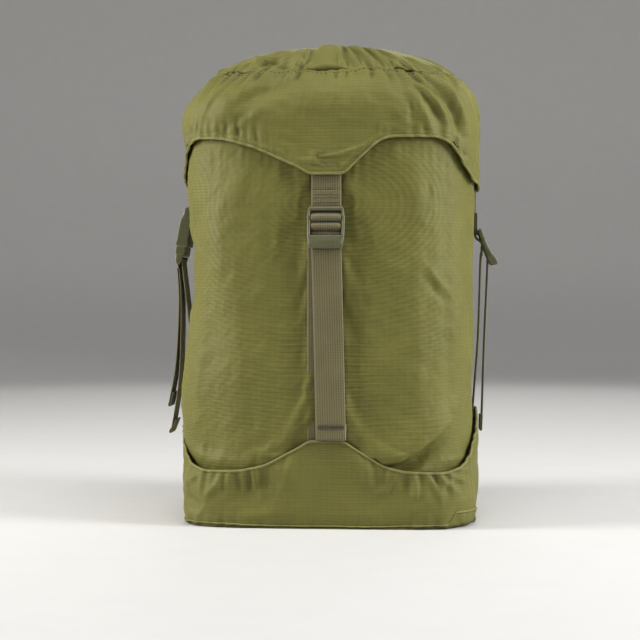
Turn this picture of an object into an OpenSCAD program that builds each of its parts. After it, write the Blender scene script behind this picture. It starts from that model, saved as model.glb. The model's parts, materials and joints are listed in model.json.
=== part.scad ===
// Compression sack: a drawcord sack held between a cap and a base cup by four webbing straps.
// Millimetres. Origin at the centre of the base, on the ground; +Z up; the front strap faces -Y.
// Sides are numbered 0 front, 1 right (+X), 2 back, 3 left (-X).
// Straps and buckles are drawn in a side view whose axes are [out from the sack's axis, up].

/* [Sack] */
// Width of the sack body, between the side straps
body_w = 238; // [232:1:244]
// Depth of the sack body, between the front and back straps
body_d = 208; // [202:1:212]
// Radius of the upright corners of the body
corner_r = 65; // [60:1:70]
// Overall height, to the top of the crown
total_h = 403; // [400:1:408]
// Thickness of the coated nylon with its seam allowances
fabric_t = 1.2; // [1:0.1:1.3]

/* [Caps] */
// Height of the seam between the cap's skirt and its crown
seam_z = 370; // [368:1:372]
// Height of the scallops at the corners of the cap
cap_apex_z = 314; // [312:1:316]
// Height of the scallops at the corners of the base cup
cup_apex_z = 48; // [46:1:50]
// Height of the binding round the scalloped edges
binding_h = 4; // [3:0.5:5]

/* [Webbing] */
// Width of the webbing
web_w = 25; // [24:0.5:25]
// Thickness of the webbing
web_t = 1.3; // [1.2:0.05:1.3]
// Length of the fold sewn at the end of each tail
fold_len = 12; // [10:1:14]

/* [Buckles] */
// Height of the top edge of the front and back ladder locks
lock_z = 258; // [256:1:260]
// Lean of the right ladder lock, which hangs slack
right_lean = 17; // [14:1:18]
// Lean of the side-release buckle
clip_lean = 10; // [8:1:11]

/* [Cord lock] */
// Radius of the drawcord
cord_r = 1.5; // [1.3:0.1:1.5]
// Travel of the cord lock's plunger
press = 3; // [2:0.5:3]

/* [Hidden] */
$fn = 48;

nylon = "#7a7a3e";
webbing = "#74694a";
plastic = "#67664a";
thread = "#5c5a30";
cord = "#55572f";
steel = "#b0b0b0";

FRONT = 0;
RIGHT = 1;
BACK = 2;
LEFT = 3;
SIDES = [FRONT, RIGHT, BACK, LEFT];

gap = 0.4;
// Distance of the body's wall from the axis on each side, and of the layers over it
wall = [body_d / 2, body_w / 2, body_d / 2, body_w / 2];
ply = web_t + gap;
load_out = [for (s = SIDES) wall[s] + gap + web_t / 2];
upper_out = [for (s = SIDES) load_out[s] + ply];
cup_gap = ply + 0.3;
skirt_gap = 2 * ply + 0.5;

// Heights of each side's tab, on the cap and on the cup
cap_tab_z = [284, 276, 284, 278];
cup_tab_z = [71, 90, 71, 92];
tab_half = web_w / 2 + 3;

// The skirt leans in above this height to meet the crown
skirt_bend_z = 338;
seam_in = 20;
panel_t = 1.6;

// Ladder lock: bars A, B and C are round, D is the tab that releases the strap
bar_r = 1.6;
bar_pitch = 7;
wrap_r = bar_r + 0.1 + web_t / 2;
lock_w = 30;
slot_w = 25.6;
lock_out = [wall[FRONT] + 6.6, wall[RIGHT] + 9, wall[BACK] + 6.6];
lock_bar_z = [lock_z - 8.6, lock_z - 22.5, lock_z - 8.6];
lock_lean = [0, right_lean, 0];

// Side-release buckle, drawn upright and then leant: its socket is above its plug
clip_w = 34;
clip_t = 9.6;
socket_h = 34;
plug_h = 16;
clip_top_z = 263;
clip_out = wall[LEFT] + 6.6;
prong_r = 2;
prong_y = 11.5;
prong_len = 20;

// Neck of the sack and its drawcord, under the crown
neck_r = 22;
neck_z = 367;
channel_z = 380;
cord_gap = 2.4;
eyelet_gap = 0.4;
cord_end_y = -70;
barrel_y = -42;
barrel_r = 7.8;
plunger_r = 5.6;
plunger_z = channel_z - 4;
well_z = plunger_z - press - 0.1;
barrel_top_z = channel_z + 7;

// ---------------------------------------------------------------- shared shapes

// Rounded rectangle
module plan(w, d, r, fn = 48) {
    square([w - 2 * r, d], center = true);
    square([w, d - 2 * r], center = true);
    for (x = [-1, 1], y = [-1, 1])
        translate([x * (w / 2 - r), y * (d / 2 - r)]) circle(r, $fn = fn);
}

// Rounded rectangle standing off the body's wall by a gap
module body_plan(off) {
    plan(body_w + 2 * off, body_d + 2 * off, corner_r + off);
}

// Upright tube whose wall starts at a gap from the body
module tube(off, t, z0, z1) {
    translate([0, 0, z0]) linear_extrude(z1 - z0) difference() {
        body_plan(off + t);
        body_plan(off);
    }
}

// Thin slice of a dome, used inside hulls
module slice(w, d, r, z) {
    translate([0, 0, z]) linear_extrude(0.1) plan(w, d, r, 32);
}

// Places a side view, [out, up], on one side of the sack and gives it a width
module on_side(s, w = web_w) {
    rotate(90 * s - 90) rotate([90, 0, 0]) linear_extrude(w, center = true) children();
}

function unit(v) = v / norm(v);
function turned(v) = [-v.y, v.x];

// Half-thickness offsets of a path, mitred at its corners
function offsets(path, t) = [
    for (i = [0:len(path) - 1])
        let (a = turned(unit(path[max(i, 1)] - path[max(i, 1) - 1])))
        let (last = len(path) - 1, j = min(i, last - 1))
        let (b = turned(unit(path[j + 1] - path[j])))
        let (m = unit(a + b))
        m * (t / 2) / (m * a)
];

// Strip of even thickness along a path
module strip(path, t = web_t) {
    o = offsets(path, t);
    last = len(path) - 1;
    polygon(concat(
        [for (i = [0:last]) path[i] + o[i]],
        [for (i = [last:-1:0]) path[i] - o[i]]
    ));
}

function arc(c, r, a0, a1, n = 10) = [
    for (i = [0:n]) let (a = a0 + (a1 - a0) * i / n) c + r * [cos(a), sin(a)]
];

// Point of a side view after a lean about a pivot; a positive lean swings what hangs below it outward
function leant(p, pivot, angle) =
    let (v = p - pivot)
    pivot + [v.x * cos(angle) - v.y * sin(angle), v.x * sin(angle) + v.y * cos(angle)];

module lean(pivot, angle) {
    translate(pivot) rotate(angle) translate(-pivot) children();
}

// ---------------------------------------------------------------- scalloped edges

// Position along a corner's cutting plane of the edges of the tabs on its two sides
function corner_start() = (tab_half - wall[FRONT] - skirt_gap) / sqrt(2);
function corner_end() = (wall[RIGHT] + skirt_gap - tab_half) / sqrt(2);

// Height of a scallop at t, from -1 at the front or back tab to 1 at the side tab
function scallop(t, z_front, z_side, apex) =
    let (tab = t < 0 ? z_front : z_side)
    tab + (apex - tab) * pow(1 - t * t, 0.8);

// The space beyond a scalloped edge: below it for the cap, above it for the cup
module beyond_edge(tabs, apex, shift, far) {
    steps = 24;
    for (x = [-1, 1], y = [-1, 1]) {
        z_front = tabs[y < 0 ? FRONT : BACK];
        z_side = tabs[x > 0 ? RIGHT : LEFT];
        mirror([x < 0 ? 1 : 0, 0, 0]) mirror([0, y > 0 ? 1 : 0, 0])
            rotate(45) rotate([90, 0, 0]) linear_extrude(300)
                polygon(concat(
                    [for (i = [0:steps])
                        let (t = 2 * i / steps - 1)
                        let (s = corner_start() + (corner_end() - corner_start()) * i / steps)
                        [s, scallop(t, z_front, z_side, apex) + shift]],
                    [[corner_end(), far], [corner_start(), far]]
                ));
    }
    for (s = SIDES)
        on_side(s, 2 * tab_half + 1) polygon([
            [60, tabs[s] + shift], [300, tabs[s] + shift], [300, far], [60, far]
        ]);
}

// ---------------------------------------------------------------- base cup and body

module base_panel() {
    color(nylon) linear_extrude(panel_t) body_plan(cup_gap + fabric_t);
}

module cup_skirt() {
    color(nylon) difference() {
        tube(cup_gap, fabric_t, panel_t, max(cup_tab_z));
        beyond_edge(cup_tab_z, cup_apex_z, -binding_h, 200);
    }
}

module cup_binding() {
    color(webbing) difference() {
        intersection() {
            tube(cup_gap, fabric_t + 0.6, panel_t, max(cup_tab_z) + 1);
            beyond_edge(cup_tab_z, cup_apex_z, -binding_h, 200);
        }
        beyond_edge(cup_tab_z, cup_apex_z, 0, 200);
    }
}

module cup_bar_tacks() {
    color(thread) for (s = SIDES, row = [0, 1])
        on_side(s, web_w - 4) translate([wall[s] + cup_gap + fabric_t, cup_tab_z[s] - 10 - 8 * row])
            square([0.5, 1.6]);
}

module sack_tube() {
    color(nylon) tube(-fabric_t, fabric_t, panel_t, skirt_bend_z - 10);
}

// Strap from under the cup's tab to the back of a lock or of the plug
module load_strap(s, path) {
    color(webbing) on_side(s) strip(path);
}

function sewn_end(s) = [[load_out[s], cup_tab_z[s] - 30], [load_out[s], cup_tab_z[s] + 4]];

module front_load_strap() {
    load_strap(FRONT, concat(sewn_end(FRONT), [[load_out[FRONT], lock_bar_z[FRONT] - bar_pitch - 7]]));
}

module back_load_strap() {
    load_strap(BACK, concat(sewn_end(BACK), [[load_out[BACK], lock_bar_z[BACK] - bar_pitch - 7]]));
}

module right_load_strap() {
    load_strap(RIGHT, concat(sewn_end(RIGHT), [
        [load_out[RIGHT] + 2, cup_tab_z[RIGHT] + 22],
        wrap_start(RIGHT) + [-0.6, -4]
    ]));
}

module left_load_strap() {
    load_strap(LEFT, concat(sewn_end(LEFT), [
        [load_out[LEFT] + 2, cup_tab_z[LEFT] + 22],
        clip_point([-2.4, -socket_h - plug_h - 3])
    ]));
}

// ---------------------------------------------------------------- neck and drawcord

// Shoulder that draws the top of the sack in to its neck, and the neck itself
module neck_collar() {
    bottom_z = skirt_bend_z - 9.9;
    color(nylon) difference() {
        union() {
            hull() {
                slice(body_w, body_d, corner_r, bottom_z);
                translate([0, 0, neck_z]) cylinder(0.1, neck_r, neck_r, $fn = 32);
            }
            cylinder(channel_z - 3.3, neck_r, neck_r);
        }
        hull() {
            slice(body_w - 4, body_d - 4, corner_r - 2, bottom_z - 0.1);
            translate([0, 0, neck_z - 2]) cylinder(0.1, neck_r - 2, neck_r - 2, $fn = 32);
        }
        cylinder(500, neck_r - 1.2, neck_r - 1.2);
        translate([-200, -200, -1]) cube([400, 400, bottom_z + 1]);
    }
}

// Hem round the neck that the drawcord runs in, slit along its inner side, with two eyelets at the front
module neck_channel() {
    color(nylon) difference() {
        translate([0, 0, channel_z]) rotate_extrude() translate([neck_r, 0]) difference() {
            circle(cord_r + 1.7);
            circle(cord_r + eyelet_gap);
            translate([-5, -0.4]) square([5, 0.8]);
        }
        for (x = [-cord_gap, cord_gap])
            translate([x, 0, channel_z]) rotate([90, 0, 0])
                cylinder(neck_r + 5, cord_r + eyelet_gap, cord_r + eyelet_gap);
    }
}

// Cord round the neck, with both ends led out to the front
module drawcord() {
    front_y = -sqrt(neck_r * neck_r - cord_gap * cord_gap);
    color(cord) translate([0, 0, channel_z]) difference() {
        union() {
            rotate_extrude() translate([neck_r, 0]) circle(cord_r);
            for (x = [-cord_gap, cord_gap])
                translate([x, front_y, 0]) rotate([90, 0, 0])
                    cylinder(front_y - cord_end_y, cord_r, cord_r);
        }
        translate([-0.4, -neck_r - 3, -3]) cube([0.8, 6, 6]);
    }
}

module cord_knot() {
    color(cord) translate([0, cord_end_y, channel_z]) rotate([90, 0, 0])
        for (x = [-cord_gap, cord_gap]) translate([x, 0, 0]) {
            difference() {
                union() {
                    translate([0, 0, -3]) cylinder(3.4, 2.3, 2.3);
                    cylinder(3, 2, 1.6);
                }
                translate([0, 0, -4]) cylinder(4, cord_r, cord_r);
            }
        }
}

// Barrel stands upright on the cords, which cross it; the plunger drops into it from above
module cord_lock_barrel() {
    color(plastic) difference() {
        translate([0, barrel_y, well_z - 1.8]) cylinder(barrel_top_z - well_z + 1.8, barrel_r, barrel_r);
        translate([0, barrel_y, well_z]) cylinder(30, plunger_r + 0.05, plunger_r + 0.05);
        for (x = [-cord_gap, cord_gap])
            translate([x, barrel_y, channel_z]) rotate([90, 0, 0])
                cylinder(2 * barrel_r + 2, cord_r + 0.3, cord_r + 0.3, center = true);
    }
}

// Plunger with a window for the cords; its spring lifts it until the window's floor pinches them
module cord_lock_plunger() {
    window_w = 2 * (cord_gap + cord_r) + 0.4;
    color(plastic) translate([0, barrel_y, 0]) difference() {
        union() {
            translate([0, 0, plunger_z])
                cylinder(barrel_top_z + press - plunger_z + 0.1, plunger_r, plunger_r);
            translate([0, 0, barrel_top_z + press]) cylinder(2, barrel_r - 1, barrel_r - 1);
        }
        translate([-window_w / 2, -plunger_r - 1, channel_z - cord_r - 0.3])
            cube([window_w, 2 * plunger_r + 2, 2 * cord_r + press + 0.6]);
    }
}

// Coil spring under the plunger, drawn as a stack of rings joined by a post at their side
module cord_lock_spring() {
    coil_r = 3.4;
    wire_r = 0.3;
    coils = 3;
    pitch = (plunger_z - well_z - 2 * wire_r - 0.1) / (coils - 1);
    color(steel) translate([0, barrel_y, well_z + wire_r + 0.05]) {
        for (i = [0:coils - 1]) translate([0, 0, i * pitch]) rotate_extrude()
            translate([coil_r, 0]) circle(wire_r, $fn = 16);
        translate([coil_r, 0, 0]) cylinder(pitch * (coils - 1), wire_r * 0.8, wire_r * 0.8, $fn = 16);
    }
}

// ---------------------------------------------------------------- cap

seam_w = body_w + 2 * (skirt_gap + fabric_t) - 2 * seam_in;
seam_d = body_d + 2 * (skirt_gap + fabric_t) - 2 * seam_in;

module cap_crown() {
    rise = total_h - seam_z;
    color(nylon) difference() {
        dome(0, rise);
        dome(-fabric_t, rise - fabric_t);
    }
}

// Low dome over the seam
module dome(off, rise) {
    z0 = seam_z + (off < 0 ? -0.1 : 0.1);
    w = seam_w + 2 * off;
    d = seam_d + 2 * off;
    hull() {
        slice(w, d, 60, z0);
        slice(w * 0.97, d * 0.97, 60, z0 + rise * 0.35);
        slice(w * 0.82, d * 0.82, 60, z0 + rise * 0.7);
        slice(w * 0.6, d * 0.6, 50, z0 + rise * 0.92);
        slice(w * 0.4, d * 0.4, 30, z0 + rise - 0.2);
    }
}

// Solid that fills the cap below the seam
module cap_fill(off) {
    hull() {
        translate([0, 0, skirt_bend_z]) linear_extrude(0.1) body_plan(skirt_gap + off);
        slice(seam_w - 2 * fabric_t + 2 * off + 12, seam_d - 2 * fabric_t + 2 * off + 12, 66, seam_z - 10);
        slice(seam_w - 2 * fabric_t + 2 * off, seam_d - 2 * fabric_t + 2 * off, 60, seam_z - 0.1);
    }
}

module cap_skirt() {
    color(nylon) difference() {
        union() {
            tube(skirt_gap, fabric_t, min(cap_tab_z), skirt_bend_z);
            difference() {
                cap_fill(fabric_t);
                cap_fill(0);
                translate([-200, -200, seam_z]) cube([400, 400, 10]);
            }
        }
        beyond_edge(cap_tab_z, cap_apex_z, binding_h, 0);
    }
}

module cap_binding() {
    color(webbing) difference() {
        intersection() {
            tube(skirt_gap, fabric_t + 0.6, min(cap_tab_z), cap_apex_z + 10);
            beyond_edge(cap_tab_z, cap_apex_z, binding_h, 0);
        }
        beyond_edge(cap_tab_z, cap_apex_z, 0, 0);
    }
}

module cap_bar_tacks() {
    color(thread) for (s = SIDES, row = [0, 1])
        on_side(s, web_w - 4) translate([wall[s] + skirt_gap + fabric_t, cap_tab_z[s] + 8 + 8 * row])
            square([0.5, 1.6]);
}

// ---------------------------------------------------------------- straps over the bars

// Centre of a ladder lock's bar, counted down from the hinge bar, after its lean
function lock_bar(s, n) =
    let (pivot = [lock_out[s], lock_bar_z[s]])
    leant(pivot - [0, n * bar_pitch], pivot, lock_lean[s]);

// Upper strap: down behind bar A, round bar B and back up to be sewn to itself
module upper_strap(s) {
    b = lock_bar(s, 0);
    outer = upper_out[s] + web_t + 0.1;
    color(webbing) on_side(s) strip(concat(
        [[upper_out[s], cap_tab_z[s] + 34], [upper_out[s], b.y + 5]],
        [[(upper_out[s] + b.x - wrap_r) / 2 - 0.4, b.y + 0.6]],
        arc(b, wrap_r, 215, 430),
        [[outer, b.y + 5.3], [outer, min(b.y + 24, cap_tab_z[s] - 2)]]
    ));
}

// Back of bar C, where the load strap turns forward to pass over it
function wrap_start(s) = lock_bar(s, 1) + [-wrap_r, -7.5];

// Piece of the load strap that turns over bar C and leads behind the tab
module lock_wrap(s) {
    c = lock_bar(s, 1);
    color(webbing) on_side(s) strip(concat(
        [c + [-wrap_r, -6.6]],
        arc(c, wrap_r, 180, -50),
        [tail_top(s) + [0, 0.8]]
    ));
}

function tail_top(s) = leant([lock_out[s] + 0.85, lock_bar_z[s] - bar_pitch - 7],
    [lock_out[s], lock_bar_z[s]], lock_lean[s]);

module front_upper_strap() { upper_strap(FRONT); }
module right_upper_strap() { upper_strap(RIGHT); }
module back_upper_strap() { upper_strap(BACK); }
module front_lock_wrap() { lock_wrap(FRONT); }
module right_lock_wrap() { lock_wrap(RIGHT); }
module back_lock_wrap() { lock_wrap(BACK); }

module left_upper_strap() {
    b = clip_point([0, -3]);
    outer = upper_out[LEFT] + web_t + 0.1;
    color(webbing) on_side(LEFT) strip(concat(
        [[upper_out[LEFT], cap_tab_z[LEFT] + 34], [upper_out[LEFT], b.y + 7]],
        [[(upper_out[LEFT] + b.x - wrap_r) / 2 - 0.3, b.y + 1]],
        arc(b, wrap_r, 200, 430),
        [[outer, b.y + 6.5], [outer, cap_tab_z[LEFT] - 2]]
    ));
}

// ---------------------------------------------------------------- ladder locks

module ladder_lock(s) {
    pivot = [lock_out[s], lock_bar_z[s]];
    x = pivot.x;
    z = pivot.y;
    rail = (lock_w - slot_w) / 2;
    color(plastic) {
        for (end = [-1, 1]) rotate(90 * s - 90) translate([0, end * (slot_w + rail) / 2, 0])
            rotate([90, 0, 0]) linear_extrude(rail, center = true) lean(pivot, lock_lean[s]) polygon([
                [x - 1.5, z + 8.5], [x + 1.3, z + 8.6], [x + 2.2, z], [x + 3.6, z - 10],
                [x + 6.4, z - 22], [x + 6, z - 24], [x + 4.4, z - 24.4], [x + 0.4, z - 23],
                [x - 1.6, z - 9]
            ]);
        for (n = [-1, 0, 1]) {
            c = lock_bar(s, n);
            rotate(90 * s - 90) translate([c.x, 0, c.y]) rotate([90, 0, 0])
                cylinder(slot_w + 1, bar_r, bar_r, center = true);
        }
        on_side(s, slot_w + 1) lean(pivot, lock_lean[s]) polygon([
            [x + 2.7, z - 14], [x + 4.8, z - 14.5], [x + 6.4, z - 22], [x + 6, z - 24], [x + 4.4, z - 24.4]
        ]);
    }
}

module front_ladder_lock() { ladder_lock(FRONT); }
module right_ladder_lock() { ladder_lock(RIGHT); }
module back_ladder_lock() { ladder_lock(BACK); }

// ---------------------------------------------------------------- tails

// Tail whose end is folded over and sewn
module tail(s, path) {
    last = len(path) - 1;
    dir = unit(path[last - 1] - path[last]);
    fold = turned(dir) * (turned(dir).x > 0 ? 0.95 : -0.95) * web_t;
    color(webbing) on_side(s) {
        strip(path);
        strip([path[last] + fold, path[last] + fold + dir * fold_len]);
    }
}

module front_tail() {
    tail(FRONT, [tail_top(FRONT), [tail_top(FRONT).x, 72]]);
}

module back_tail() {
    tail(BACK, [tail_top(BACK), [tail_top(BACK).x, 72]]);
}

module right_tail() {
    t = tail_top(RIGHT);
    tail(RIGHT, [t, t - [1, 22], t - [3.2, 80], [wall[RIGHT] + 8.6, 71]]);
}

module left_long_tail() {
    t = clip_point([0.8, -socket_h - plug_h - 2]);
    tail(LEFT, [t, t - [0.8, 40], [t.x + 1, 138], [t.x + 5.4, 100], [t.x + 8.6, 74]]);
}

module left_short_tail() {
    t = clip_point([2.6, -socket_h - plug_h - 2]);
    tail(LEFT, [t, t - [0.4, 40], [t.x + 2, 148], [t.x + 5.4, 118], [t.x + 8, 97]]);
}

// ---------------------------------------------------------------- side-release buckle

// Point of the buckle, measured from the middle of its top edge, as [out, up] on the left side
function clip_point(p) = leant([clip_out, clip_top_z] + p, [clip_out, clip_top_z], clip_lean);

// Puts the buckle, drawn hanging from the origin with +X outward, in its place
module place_clip() {
    rotate(180) translate([clip_out, 0, clip_top_z]) rotate([0, -clip_lean, 0]) children();
}

// Block standing across the buckle, centred on X and Y
module block(t, w, z0, z1) {
    translate([-t / 2, -w / 2, z0]) cube([t, w, z1 - z0]);
}

module cross_bar(z, r, w) {
    translate([0, 0, z]) rotate([90, 0, 0]) cylinder(w, r, r, center = true);
}

module buckle_socket() {
    color(plastic) place_clip() difference() {
        union() {
            difference() {
                block(clip_t, clip_w, -socket_h, -7);
                block(clip_t - 2.8, clip_w - 3.2, -socket_h - 1, -9);
            }
            for (end = [-1, 1]) translate([0, end * (slot_w / 2 + 2.1), 0]) block(6, 4.2, -7.1, 0);
            cross_bar(-3, bar_r, slot_w + 2);
        }
        for (end = [-1, 1]) translate([0, end * clip_w / 2, -19]) rotate([90, 0, 0])
            cylinder(8, 3.4, 3.4, center = true);
        translate([0, 0, -24]) block(6.8, clip_w + 2, 0, 5);
    }
}

module buckle_plug() {
    root_z = -socket_h - 3.4;
    color(plastic) place_clip() {
        difference() {
            union() {
                block(7, clip_w, -socket_h - 8, -socket_h - 0.2);
                for (end = [-1, 1]) translate([0, end * (slot_w / 2 + 2.1), 0])
                    block(6, 4.2, -socket_h - plug_h, -socket_h - 7.9);
                block(3, 5, -socket_h - 2, -14);
            }
            for (end = [-1, 1]) translate([0, end * prong_y, root_z]) {
                rotate([0, 90, 0]) cylinder(9, prong_r + 0.05, prong_r + 0.05, center = true);
                translate([0, 0, 3]) block(9, 2 * prong_r + 1, -2.6, 3);
            }
        }
        cross_bar(-socket_h - plug_h + 3, bar_r, slot_w + 2);
    }
}

// Springy prong of the plug; its barb fills the socket's side window
module prong(end) {
    root_z = -socket_h - 3.4;
    color(plastic) place_clip() translate([0, end * prong_y, root_z]) {
        rotate([0, 90, 0]) cylinder(4.6, prong_r, prong_r, center = true);
        block(3.6, 2.4, 0, prong_len - 1);
        translate([0, end * 1.4, 0]) block(4.6, 3.6, prong_len - 7, prong_len - 1);
    }
}

module plug_prong_front() { prong(1); }
module plug_prong_back() { prong(-1); }

base_panel();
cup_skirt();
cup_binding();
cup_bar_tacks();
sack_tube();
front_load_strap();
right_load_strap();
back_load_strap();
left_load_strap();
neck_collar();
neck_channel();
drawcord();
cord_knot();
cord_lock_barrel();
cord_lock_plunger();
cord_lock_spring();
cap_crown();
cap_skirt();
cap_binding();
cap_bar_tacks();
front_upper_strap();
right_upper_strap();
back_upper_strap();
left_upper_strap();
front_ladder_lock();
right_ladder_lock();
back_ladder_lock();
front_lock_wrap();
right_lock_wrap();
back_lock_wrap();
front_tail();
right_tail();
back_tail();
left_long_tail();
left_short_tail();
buckle_socket();
buckle_plug();
plug_prong_front();
plug_prong_back();
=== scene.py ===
# Compression sack: the looks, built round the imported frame.
# Shapes are worked out in millimetres and turned into metres when a mesh is made.
# s is the distance round the cap from the middle of its front, positive towards +X; z is height.
import json
import math

import bmesh
import bpy
import numpy as np
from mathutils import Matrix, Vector


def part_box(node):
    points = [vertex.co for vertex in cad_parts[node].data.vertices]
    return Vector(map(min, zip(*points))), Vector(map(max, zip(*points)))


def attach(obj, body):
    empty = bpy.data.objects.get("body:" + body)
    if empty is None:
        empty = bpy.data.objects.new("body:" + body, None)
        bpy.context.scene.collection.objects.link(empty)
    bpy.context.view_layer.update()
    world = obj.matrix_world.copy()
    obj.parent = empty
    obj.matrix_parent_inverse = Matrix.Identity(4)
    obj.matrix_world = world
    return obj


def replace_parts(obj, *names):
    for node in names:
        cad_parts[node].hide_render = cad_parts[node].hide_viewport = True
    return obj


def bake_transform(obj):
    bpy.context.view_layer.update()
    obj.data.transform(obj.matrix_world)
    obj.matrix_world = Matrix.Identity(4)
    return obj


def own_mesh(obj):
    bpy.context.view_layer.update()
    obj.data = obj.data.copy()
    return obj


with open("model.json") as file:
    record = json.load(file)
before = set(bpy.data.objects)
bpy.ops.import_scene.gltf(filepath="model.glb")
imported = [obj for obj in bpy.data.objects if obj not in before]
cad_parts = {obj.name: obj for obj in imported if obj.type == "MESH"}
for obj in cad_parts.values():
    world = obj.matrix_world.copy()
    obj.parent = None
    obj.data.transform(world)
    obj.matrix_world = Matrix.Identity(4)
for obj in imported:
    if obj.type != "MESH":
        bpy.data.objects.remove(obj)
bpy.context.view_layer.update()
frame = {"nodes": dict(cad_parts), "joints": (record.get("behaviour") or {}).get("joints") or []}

MM = 0.001
FRONT, RIGHT, BACK, LEFT = range(4)
SIDE_NAMES = ["front", "right", "back", "left"]
UP = np.array([0, 0, 1.0])
OUTWARD = [np.array([0, -1.0, 0]), np.array([1.0, 0, 0]), np.array([0, 1.0, 0]), np.array([-1.0, 0, 0])]


# ---------------------------------------- places in the frame

def node_box(node):
    """Lowest and highest corners of a CAD node, in millimetres."""
    lo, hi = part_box(node)
    return np.array(lo) / MM, np.array(hi) / MM


JOINTS = {joint["name"]: joint for joint in frame["joints"]}
BODY, CUP, CAP, SEAM = (node_box(node)[1] for node in ("sack_tube", "cup_skirt", "cap_skirt", "cap_crown"))
BODY_TOP, SEAM_Z, TOP_Z = BODY[2], CAP[2], SEAM[2]
WALL = [BODY[1], BODY[0], BODY[1], BODY[0]]


# ---------------------------------------- plan of the sack

SQUARENESS = 3.8


def outline(phi, half, power=SQUARENESS):
    """Distance of the rounded outline from the axis at an angle; more power makes squarer corners."""
    x, y = np.abs(np.cos(phi) / half[0]), np.abs(np.sin(phi) / half[1])
    return (x**power + y**power) ** (-1 / power)


def run_along(line):
    """Distance along a line of points to each of them."""
    return np.concatenate([[0], np.cumsum(np.linalg.norm(np.diff(line, axis=0), axis=1))])


DENSE_PHI = np.linspace(-1.5 * math.pi, 0.5 * math.pi, 8001)
DENSE_S = run_along(np.stack([np.cos(DENSE_PHI), np.sin(DENSE_PHI)], 1) * outline(DENSE_PHI, CAP)[:, None])
ROUND = DENSE_S[-1]
DENSE_S -= ROUND / 2
HALF, QUARTER = ROUND / 2, ROUND / 4
MID = float(np.interp(0, DENSE_PHI, DENSE_S))
SIDE_S = [0, MID, HALF, -MID]


def angle_at(s):
    """Angle round the axis of a place given by its distance round the cap."""
    return np.interp(s, DENSE_S, DENSE_PHI)


def ring_grid(rows, columns, low=0, high=1):
    """Even places round the cap, and a second value that goes from low to high up the rows."""
    s = (np.arange(columns) / columns - 0.5) * ROUND
    return np.broadcast_arrays(s[None, :], np.linspace(low, high, rows)[:, None])


def ring_points(phi, out, z, shift=0):
    """Points at an angle round the axis and a distance out from it; shift moves them towards +X."""
    return np.stack([np.cos(phi) * out + shift, np.sin(phi) * out, z], -1)


# ---------------------------------------- small maths

def smooth(x, lo, hi):
    """Goes smoothly from 0 at lo to 1 at hi."""
    t = np.clip((x - lo) / (hi - lo), 0, 1)
    return t * t * (3 - 2 * t)


def bell(x, width):
    """One at nought, fading to nothing at about twice the width."""
    return np.exp(-((x / width) ** 2))


def unit(vectors):
    return vectors / np.maximum(np.linalg.norm(vectors, axis=-1, keepdims=True), 1e-9)


def circle(count):
    """Angles spaced evenly round a full turn."""
    return np.linspace(0, 2 * math.pi, count, endpoint=False)


def around(s, middle):
    """Distance from a place round the sack, the short way."""
    return (s - middle + HALF) % ROUND - HALF


def near(s, middle, far, close):
    """Goes smoothly from 0 at the distance far from a place round the sack to 1 at the distance close."""
    return smooth(np.abs(around(s, middle)), far, close)


def strap_valley(s, reach):
    """One at the middle of each side, where a strap lies, and nothing between the sides."""
    return sum(bell(around(s, middle), reach) for middle in SIDE_S)


def between_straps(s, reach):
    return np.clip(1 - strap_valley(s, reach), 0, 1)


def ripple(s, z, size, seed, tall=1.0, count=16):
    """Soft random undulation of about unit height that closes round the sack."""
    rng = np.random.default_rng(seed)
    total = np.zeros(np.broadcast(s, z).shape)
    for _ in range(count):
        angle = rng.uniform(0, 2 * math.pi)
        wave = 2 * math.pi / (size * rng.uniform(0.7, 1.6))
        turns = round(wave * math.cos(angle) * ROUND / (2 * math.pi))
        total += np.sin(turns * 2 * math.pi * s / ROUND + wave * math.sin(angle) * z / tall
                        + rng.uniform(0, 2 * math.pi))
    return total / math.sqrt(count / 2)


def puckers(s, seed, pitch):
    """Gathers of uneven spacing along a seam, between nought and one."""
    return np.clip(0.5 + 0.5 * ripple(s, 0, pitch, seed, count=10), 0, 1.4)


def spline(points, step):
    """Smooth curve through three or more points, sampled evenly at about the given step."""
    p = np.asarray(points, float)
    ext = np.vstack([2 * p[0] - p[1], p, 2 * p[-1] - p[-2]])
    t = np.linspace(0, 1, 24, endpoint=False)[:, None]
    runs = []
    for i in range(len(p) - 1):
        a, b, c, d = ext[i : i + 4]
        runs.append(0.5 * (2 * b + (c - a) * t + (2 * a - 5 * b + 4 * c - d) * t**2
                           + (3 * b - a - 3 * c + d) * t**3))
    dense = np.vstack(runs + [p[-1:]])
    length = run_along(dense)
    at = np.linspace(0, length[-1], max(2, int(round(length[-1] / step)) + 1))
    return np.stack([np.interp(at, length, dense[:, k]) for k in range(dense.shape[1])], 1)


def loop(points, step):
    """Smooth closed curve through points; the first isn't repeated at the end."""
    return spline(points + points[:1], step)[:-1]


def fold(s, z, points, height, rise, fall):
    """Height of a crease along points (s, z): rise is its width on the left of its run, fall on the right."""
    line = spline(points, 4)
    best = np.full(s.shape, 1e9)
    signed, along = np.zeros(s.shape), np.zeros(s.shape)
    last = len(line) - 1
    for i in range(last):
        a, run = line[i], line[i + 1] - line[i]
        ds, dz = around(s, a[0]), z - a[1]
        t = np.clip((ds * run[0] + dz * run[1]) / (run @ run), 0, 1)
        d = np.hypot(ds - t * run[0], dz - t * run[1])
        nearer = d < best
        best[nearer] = d[nearer]
        signed[nearer] = (run[0] * dz - run[1] * ds)[nearer]
        along[nearer] = ((i + t) / last)[nearer]
    ends = np.clip(np.sin(math.pi * np.clip(along, 0.02, 0.98)), 0, 1) ** 0.5
    return height * ends * bell(best, np.where(signed > 0, rise, fall))


def folds(s, z, table):
    return sum(fold(s, z, *row) for row in table)


# ---------------------------------------- meshes

CLOTH_T = 0.9


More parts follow.
